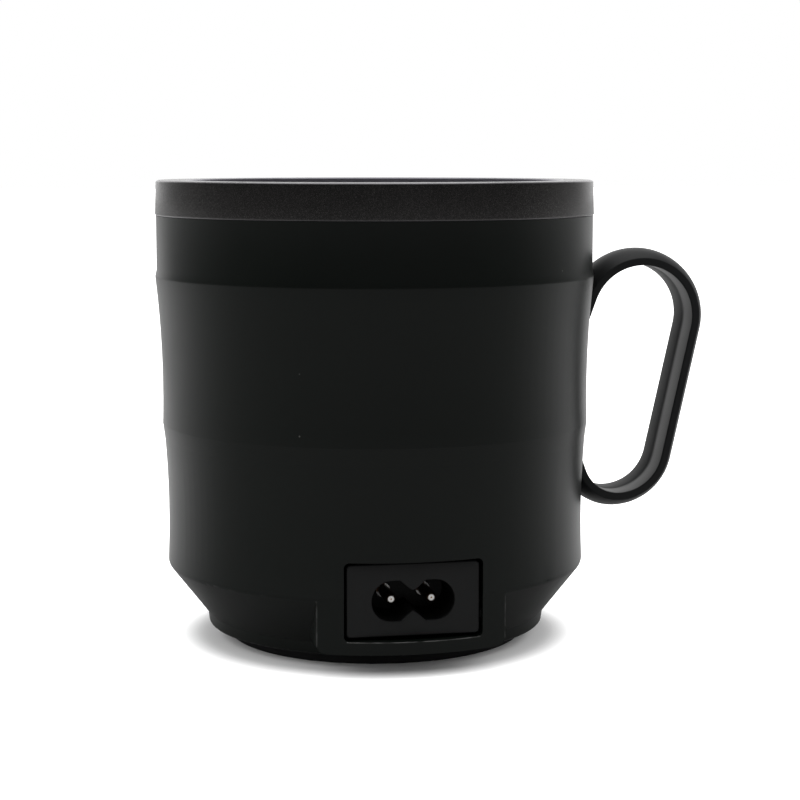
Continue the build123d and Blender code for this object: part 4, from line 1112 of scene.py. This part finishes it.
@dataclass
class Inlet(Piece):
    """Two-pin appliance inlet: face plate, figure-8 recess with two ribs, screw ears and the pins."""

    face: float = 44.0
    plate_back: float = 40.5
    plate: Pair = (14.1, 7.7)
    plate_middle: float = 16.45
    corner: float = 0.8
    edge: float = 0.3
    core: Pair = (10.8, 6.6)
    core_back: float = 24.5
    middle: float = 16.2
    lobe: float = 4.3
    lobe_shift: float = 4.5
    rib_tip: float = 2.2
    rib_slope: float = 1.3125
    rib_soft: float = 0.3
    mouth_round: float = 0.22
    floor: float = 31.5
    floor_round: Pair = (0.1, 0.4)
    sink: float = 0.3
    collar: float = 1.65
    collar_top: float = 32.4
    collar_round: float = 0.25
    pin_shift: float = 4.3
    pin: float = 1.18
    pin_tip: float = 41.8
    pin_round: float = 0.9
    pin_dimple: float = 0.2
    root: Triple = (1.5, 32.4, 32.7)
    shank: float = 0.9
    tail: Pair = (0.4, 1.2)
    tail_corner: float = 0.15
    tail_back: float = 17.5
    ear_y: Pair = (37.5, 39.5)
    ear_level: float = 12.6
    ear_half: float = 3.0
    ear_reach: float = 17.7
    screw_shift: float = 16.4
    screw_hole: float = 0.9

    def recess(self, a: Points) -> Points:
        """Distance from the recess's centre to its outline.

        The outline is the nearer of a slot, made of two lobes joined by level lines, and of the two ribs,
        whose sides climb from a soft tip on the centre line.

        Args:
            a: Directions in radians.

        Returns:
            One distance for each direction.
        """
        c, s = np.abs(np.cos(a)), np.abs(np.sin(a))
        dot = self.lobe_shift * c
        lobe = dot + np.sqrt(np.maximum(dot * dot + self.lobe ** 2 - self.lobe_shift ** 2, 0))
        level = self.lobe / np.maximum(s, 1e-9)
        slot = np.where(level * c <= self.lobe_shift, level, lobe)
        lean = np.sqrt(c * c + self.rib_soft ** 2) - self.rib_soft
        climb = s - self.rib_slope * lean
        rib = np.where(climb > 0.05, self.rib_tip / np.maximum(climb, 0.05), 1e3)
        return np.minimum(slot, rib)

    def housing(self) -> Points:
        """Loops from the recess's floor out over the face, round the plate and back over the core.

        Each edge is a quarter circle: inset r (1 - cos t) where the depth is r (1 - sin t).

        Returns:
            The loops.
        """
        a = full_turn(480)
        recess = self.recess(a)
        small, large = self.floor_round
        rows = [(0.0, self.floor, self.middle), (recess - large, self.floor, self.middle),
                (recess - small, self.floor + small, self.middle), (recess, self.floor + large, self.middle)]
        turns = np.radians(np.linspace(0, 90, 6))
        rows += [(recess + self.mouth_round * (1 - math.cos(t)),
                  self.face - self.mouth_round * (1 - math.sin(t)), self.middle) for t in turns]
        half_width, half_height = self.plate
        for t in turns[::-1]:
            inset = self.edge * (1 - math.cos(t))
            outline = polar_rectangle(a, half_width - inset, half_height - inset, self.corner)
            rows.append((outline, self.face - self.edge * (1 - math.sin(t)), self.plate_middle))
        plate = polar_rectangle(a, half_width, half_height, self.corner)
        core = polar_rectangle(a, *self.core, self.corner)
        rows += [(plate, self.plate_back, self.plate_middle), (core, self.plate_back, self.middle),
                 (core, self.core_back, self.middle), (0.0, self.core_back, self.middle)]
        return upright_loops([(polar_ring(a, d) + (0, level), y) for d, y, level in rows])

    def collar_loops(self, side: int) -> Points:
        """Loops of the low collar round the foot of one pin, a section turned about the pin.

        Args:
            side: One for the pin at +X, minus one for the other.

        Returns:
            The loops.
        """
        section = rounded_polygon([
            (self.shank, self.floor - self.sink, 0), (self.collar, self.floor - self.sink, 0),
            (self.collar, self.collar_top, self.collar_round), (self.shank, self.collar_top, 0)])
        return turned_along_y(section, side * self.pin_shift, self.middle)

    def ear_loops(self, side: int) -> Points:
        """Loops of one screw ear, a tab with a hole, as a ring of outlines.

        The tab's outline is the nearest of its end, its root in the core and its level sides.

        Args:
            side: One for the ear at +X, minus one for the other.

        Returns:
            The loops.
        """
        a = full_turn(96)
        c, s = np.cos(a) * side, np.abs(np.sin(a)) + 1e-9
        root = self.screw_shift - self.core[0] + 0.5
        reach = np.where(c > 0, (self.ear_reach - self.screw_shift) / np.maximum(c, 1e-9),
                         root / np.maximum(-c, 1e-9))
        tab = np.minimum(reach, self.ear_half / s)
        near, far = self.ear_y
        centre = (side * self.screw_shift, self.ear_level)
        rows = [(self.screw_hole, near), (tab, near), (tab, far), (self.screw_hole, far)]
        return upright_loops([(polar_ring(a, d) + centre, y) for d, y in rows])

    def pin_stacks(self, side: int) -> Stacks:
        """Closed skins of one pin: the contact, a section turned about the pin, and the flat tail.

        Args:
            side: One for the pin at +X, minus one for the other.

        Returns:
            The two skins.
        """
        x = side * self.pin_shift
        root, low, high = self.root
        tip, dimple = self.pin_tip, self.pin_dimple
        section = np.concatenate([
            [(0, tip - 0.7 * dimple), (0.6 * dimple, tip - 0.5 * dimple), (dimple, tip)],
            arc((self.pin - self.pin_round, tip - self.pin_round), self.pin_round, 90, -90, 12),
            [(self.pin, high), (root, high), (root, low), (self.shank, low), (self.shank, self.core_back),
             (0, self.core_back)]])
        a = full_turn(48)
        flat = polar_ring(a, polar_rectangle(a, *self.tail, self.tail_corner)) + (x, self.middle)
        tail = capped(upright_loops([(flat, self.core_back + self.sink), (flat, self.tail_back)]))
        return [(turned_along_y(section, x, self.middle, 56), False), (tail, False)]

    def build(self, dresser: Dresser) -> None:
        """Makes the housing and the two pins.

        Args:
            dresser: Makes and finishes the pieces.
        """
        stacks = [(self.housing(), False)]
        stacks += [(self.collar_loops(side), True) for side in (-1, 1)]
        stacks += [(self.ear_loops(side), True) for side in (-1, 1)]
        dresser.add("inlet_moulding", stacks, "inlet_black", "inlet_housing")
        for side, name in ((1, "left"), (-1, "right")):
            pin = self.pin_stacks(side)
            dresser.add(f"contact_{name}", pin, "contact_nickel", f"inlet_pin_{name}", crease=50.0)


@dataclass
class KeyMarks(Piece):
    """Pale signs printed on the three keys: minus, a ring with a bar, and plus."""

    band_foot: float = 48.7
    band_height: float = 32.8
    foot_radius: float = 47.98
    head_radius: float = 49.22
    hollow: float = 0.6
    proud: float = 0.6
    level: float = 57.4
    spacing: float = 7.6
    reach: float = 1.05
    half_width: float = 0.17
    ring: float = 0.95
    gap: float = 34.0
    stem: Pair = (0.35, 1.25)
    thickness: float = 0.05

    def on_key(self, flat: Points, lift: float) -> Points:
        """Wraps a flat form onto the keys' faces: y = -sqrt((band radius + proud + lift)^2 - x^2).

        The band's radius runs in a line from its foot to its head, less a hollow 4 h s (1 - s), where s is
        the share of the way.

        Args:
            flat: Rows of (x, z).
            lift: Height above the face.

        Returns:
            Rows of (x, y, z).
        """
        x, z = flat[..., 0], flat[..., 1]
        share = (z - self.band_foot) / self.band_height
        radius = (self.foot_radius + (self.head_radius - self.foot_radius) * share
                  - 4 * self.hollow * share * (1 - share) + self.proud + lift)
        return np.stack([x, -np.sqrt(radius ** 2 - x ** 2), z], axis=-1)

    def plate(self, distance: Points, a: Points, x: float) -> Points:
        """Loops of a thin plate with a polar outline, centred on a key."""
        flat = polar_ring(a, distance) + (x, self.level)
        return capped(np.stack([self.on_key(flat, lift) for lift in (self.thickness, -self.thickness)]))

    def ribbon(self, path: Points) -> Points:
        """Loops of a thin strip along a flat path: path +- half_width times its normal.

        Args:
            path: Rows of (x, z) from the key's middle.

        Returns:
            The loops.
        """
        along = np.gradient(path, axis=0)
        along /= np.linalg.norm(along, axis=1, keepdims=True)
        side = np.stack([-along[:, 1], along[:, 0]], axis=-1) * self.half_width
        inner, outer = path - side + (0, self.level), path + side + (0, self.level)
        thick = self.thickness
        edges = ((inner, thick), (outer, thick), (outer, -thick), (inner, -thick))
        return capped(np.stack([self.on_key(flat, lift) for flat, lift in edges], axis=1))

    def build(self, dresser: Dresser) -> None:
        """Makes one sign for each key, riding on that key.

        Args:
            dresser: Makes and finishes the pieces.
        """
        a = full_turn(160)
        c, s = np.abs(np.cos(a)) + 1e-9, np.abs(np.sin(a)) + 1e-9
        bar = np.minimum(self.reach / c, self.half_width / s)
        upright = np.minimum(self.reach / s, self.half_width / c)
        hoop = arc((0, 0), self.ring, 90 + self.gap, 360 - 2 * self.gap, 48)
        stem = np.stack([np.zeros(6), np.linspace(*self.stem, 6)], axis=-1)
        signs = {
            "minus": [(self.plate(bar, a, -self.spacing), False)],
            "power": [(self.ribbon(hoop), False), (self.ribbon(stem), False)],
            "plus": [(self.plate(np.maximum(bar, upright), a, self.spacing), False)],
        }
        for name, stacks in signs.items():
            dresser.add(f"{name}_sign", stacks, "connector_ivory", body=f"{name}_button")


@dataclass
class DisplayDigits(Piece):
    """Seven milky bars in each of the three digit wells behind the smoked window."""

    count: int = 3
    pitch: float = 6.2
    middle: float = 70.9
    well_floor: float = -45.02
    thickness: float = 0.12
    sink: float = 0.02
    half_width: float = 1.35
    half_height: float = 2.6
    bar: float = 0.3
    gap: float = 0.12
    lean: float = 0.12

    def bar_loops(self, centre: Pair, half_length: float, upright: bool) -> Points:
        """Loops of one bar, a long hexagon that leans with the digit: x grows by lean times the height.

        Args:
            centre: Middle of the bar as (x, z).
            half_length: Half the bar's length.
            upright: Whether the bar stands.

        Returns:
            The loops.
        """
        end = half_length - self.bar
        long = np.array([-half_length, -end, end, half_length, end, -end])
        wide = np.array([0.0, -self.bar, -self.bar, 0.0, self.bar, self.bar])
        x, z = (wide, long) if upright else (long, wide)
        z = z + centre[1]
        flat = np.stack([x + centre[0] + self.lean * (z - self.middle), z], axis=-1)
        front, back = self.well_floor - self.thickness, self.well_floor + self.sink
        return capped(upright_loops([(flat, front), (flat, back)]))

    def build(self, dresser: Dresser) -> None:
        """Makes the bars of all digits as one piece.

        Args:
            dresser: Makes and finishes the pieces.
        """
        stacks = []
        across, along = self.half_width - self.gap, self.half_height / 2 - self.gap
        for k in range(self.count):
            x = (k - (self.count - 1) / 2) * self.pitch
            for side, rise in ((0, -1), (0, 0), (0, 1), (-1, -0.5), (-1, 0.5), (1, -0.5), (1, 0.5)):
                upright = side != 0
                place = (x + side * self.half_width, self.middle + rise * self.half_height)
                stacks.append((self.bar_loops(place, along if upright else across, upright), False))
        dresser.add("digit_bars", stacks, "connector_ivory")


@dataclass
class BaseScrews(Piece):
    """Four pan-head screws under the base, each with a cross recess in its head."""

    place: float = 19.445
    head: float = 2.4
    head_foot: float = 2.9
    head_height: float = 1.1
    crown: float = 0.25
    shank: float = 1.23
    tip: float = 11.9
    cross_reach: float = 1.25
    cross_half: float = 0.3
    cross_depth: float = 0.7
    soft: float = 0.12
    edge: float = 0.15
    ring: float = 0.2
    point: Pair = (0.5, 1.0)

    def loops(self, x: float, y: float) -> Points:
        """Loops of one screw from the middle of its head out and up the shank.

        The head's face is a shallow bowl less the cross, whose depth is a product of smooth steps: how far a
        point lies inside the arm along x or along y.

        Args:
            x: Place of the screw along X.
            y: Place of the screw along Y.

        Returns:
            The loops.
        """
        t = full_turn(96)
        reach = self.cross_reach + self.edge
        flat = np.linspace(reach + self.ring, self.head - self.ring, 5)
        r = np.concatenate([np.linspace(0, reach, 22), flat])
        px, py = r[:, None] * np.cos(t), r[:, None] * np.sin(t)

        def inside(d: Points, half: float) -> Points:
            """One well inside a half width, zero outside it, with a soft edge."""
            u = np.clip((half - np.abs(d)) / self.soft, 0, 1)
            return u * u * (3 - 2 * u)

        arm = np.maximum(inside(px, self.cross_half) * inside(py, self.cross_reach),
                         inside(py, self.cross_half) * inside(px, self.cross_reach))
        face = self.head_foot + self.crown * (r[:, None] / self.head) ** 2 + arm * self.cross_depth
        head_top, (blunt, taper) = self.head_foot + self.head_height, self.point
        rim = np.array([(self.head, self.head_foot + self.crown + self.edge), (self.head, head_top),
                        (self.shank, head_top), (self.shank, self.tip - taper), (blunt, self.tip),
                        (0.0, self.tip)])
        skirt = revolve(rim, len(t))[..., (1, 0, 2)]
        return np.concatenate([np.stack([px, py, face], axis=-1), skirt]) + (x, y, 0)

    def build(self, dresser: Dresser) -> None:
        """Makes the four screws as one piece."""
        stacks = [(self.loops(i * self.place, j * self.place), False) for i in (-1, 1) for j in (-1, 1)]
        dresser.add("base_screws_crossed", stacks, "steel", "base_screws")


@dataclass(frozen=True)
class Lamp:
    """Soft rectangular lamp that faces the pot's middle, placed in metres."""

    name: str
    place: Triple
    size: Pair
    power: float
    mirrored: bool = True
    aim: Triple = (0.0, 0.0, 0.05)

    def build(self) -> None:
        """Hangs the lamp."""
        light = bpy.data.lights.new(self.name, "AREA")
        light.shape, light.energy = "RECTANGLE", self.power
        light.size, light.size_y = self.size
        obj = placed(self.name, light)
        obj.location = self.place
        obj.visible_glossy = self.mirrored
        way = Vector(self.aim) - Vector(self.place)
        obj.rotation_euler = way.to_track_quat("-Z", "Y").to_euler()


LAMPS = (
    Lamp("overhead", (0.0, -0.1, 1.1), (1.2, 1.2), 5.0),
    Lamp("left_box", (0.75, 0.05, 0.35), (0.4, 0.8), 2.5, mirrored=False),
    Lamp("right_box", (-0.75, 0.05, 0.35), (0.4, 0.8), 2.5, mirrored=False),
)


@dataclass
class Studio:
    """White table and backdrop, soft lamps and the camera, with places in metres."""

    distance: float = 0.4452
    height: float = 0.1082
    azimuth: float = 10.35
    aim: Pair = (-0.73, -7.082)
    lens: float = 88.74
    floor_half: float = 6.0
    floor_color: float = 0.86
    floor_front_shade: float = 0.2
    floor_behind: float = 0.68
    floor_turn: Pair = (0.4, -1.0)
    glow: Triple = (0.9, 38.0, 50.0)
    mirrored: float = 0.03
    wall: Triple = (0.28, 0.4, -1.15)
    far_wall: Triple = (1.1, -0.6, -1.0)
    light: float = 0.75
    light_behind: Triple = (0.25, 0.8, -0.8)
    light_above: Triple = (0.2, -0.2, 1.0)

    def towards(self, x: Term, y: Term) -> Term:
        """How far a level place or direction lies to the camera's side."""
        stand = math.radians(self.azimuth)
        return x * math.sin(stand) + y * math.cos(stand)

    def floor(self) -> None:
        """Level white sheet under the pot that glows away from it, with painted shade darkening it in front
        in reflections.
        """
        half = self.floor_half
        mesh = bpy.data.meshes.new("floor")
        corners = [(i * half, j * half, 0) for i, j in ((-1, -1), (1, -1), (1, 1), (-1, 1))]
        mesh.from_pydata(corners, [], [(0, 1, 2, 3)])
        obj = placed("floor", mesh)
        graph = Graph("floor_white")
        x, y, _ = graph.axes()
        away = radial(x, y)
        behind = (self.towards(x, y) / away).step(*self.floor_turn)
        seen, = graph.rays("Camera")
        # Painted shade: for rays other than the camera's, the floor is darker towards the camera's side.
        unseen = graph.mix(behind, (self.floor_front_shade,) * 3, (self.floor_behind,) * 3)
        color = graph.mix(seen, unseen, (self.floor_color,) * 3)
        diffuse = graph.node("ShaderNodeBsdfDiffuse", None, {"Color": color})
        glow = graph.node("ShaderNodeEmission", None, {"Strength": seen * away.fade(*self.glow)})
        both = graph.node("ShaderNodeAddShader", None, {0: diffuse.outputs[0], 1: glow.outputs[0]})
        graph.node("ShaderNodeOutputMaterial", None, {"Surface": both.outputs[0]})
        mesh.materials.append(graph.owner)

    def world(self) -> None:
        """White surroundings behind the pot, darker towards the camera's side."""
        world = bpy.data.worlds.new("studio")
        bpy.context.scene.world = world
        graph = Graph("studio", world)
        x, y, z = graph.parts(graph.node("ShaderNodeTexCoord").outputs["Generated"])
        near = self.towards(x, y)
        camera, glossy, through = graph.rays("Camera", "Glossy", "Transmission")
        mirrored = self.mirrored + near.fade(*self.wall) + near.fade(*self.far_wall)
        level = self.light + near.fade(*self.light_behind) + z.fade(*self.light_above)
        strength = camera + through + glossy * mirrored + (1 - camera - glossy - through) * level
        background = graph.node("ShaderNodeBackground", None, {"Color": (1, 1, 1, 1), "Strength": strength})
        graph.node("ShaderNodeOutputWorld", None, {"Surface": background.outputs[0]})

    def camera(self) -> None:
        """Camera at the photograph's height, distance and angle."""
        data = bpy.data.cameras.new("camera")
        data.lens, data.sensor_width = self.lens, 36.0
        obj = placed("camera", data)
        stand = math.radians(self.azimuth)
        turn, tilt = math.radians(self.azimuth - self.aim[0]), math.radians(self.aim[1])
        obj.location = (self.distance * math.sin(stand), self.distance * math.cos(stand), self.height)
        obj.rotation_euler = (math.pi / 2 + tilt, 0, math.pi - turn)
        bpy.context.scene.camera = obj

    def build(self) -> None:
        """Sets up the whole studio."""
        bpy.context.scene.view_settings.view_transform = "Standard"
        self.floor()
        self.world()
        for lamp in LAMPS:
            lamp.build()
        self.camera()


PIECES: tuple[Piece, ...] = (CollarRing(), FootRing(), InnerPot(), Bail(), Inlet(), KeyMarks(),
                             DisplayDigits(), BaseScrews())


def main() -> None:
    """Dresses the pot and builds the studio."""
    logging.basicConfig(level=logging.INFO, format="%(name)s: %(message)s")
    dresser = Dresser(frame["nodes"], frame["record"])
    dresser.dress_all()
    for piece in PIECES:
        piece.build(dresser)
    Studio().build()


if __name__ == "__main__":
    main()
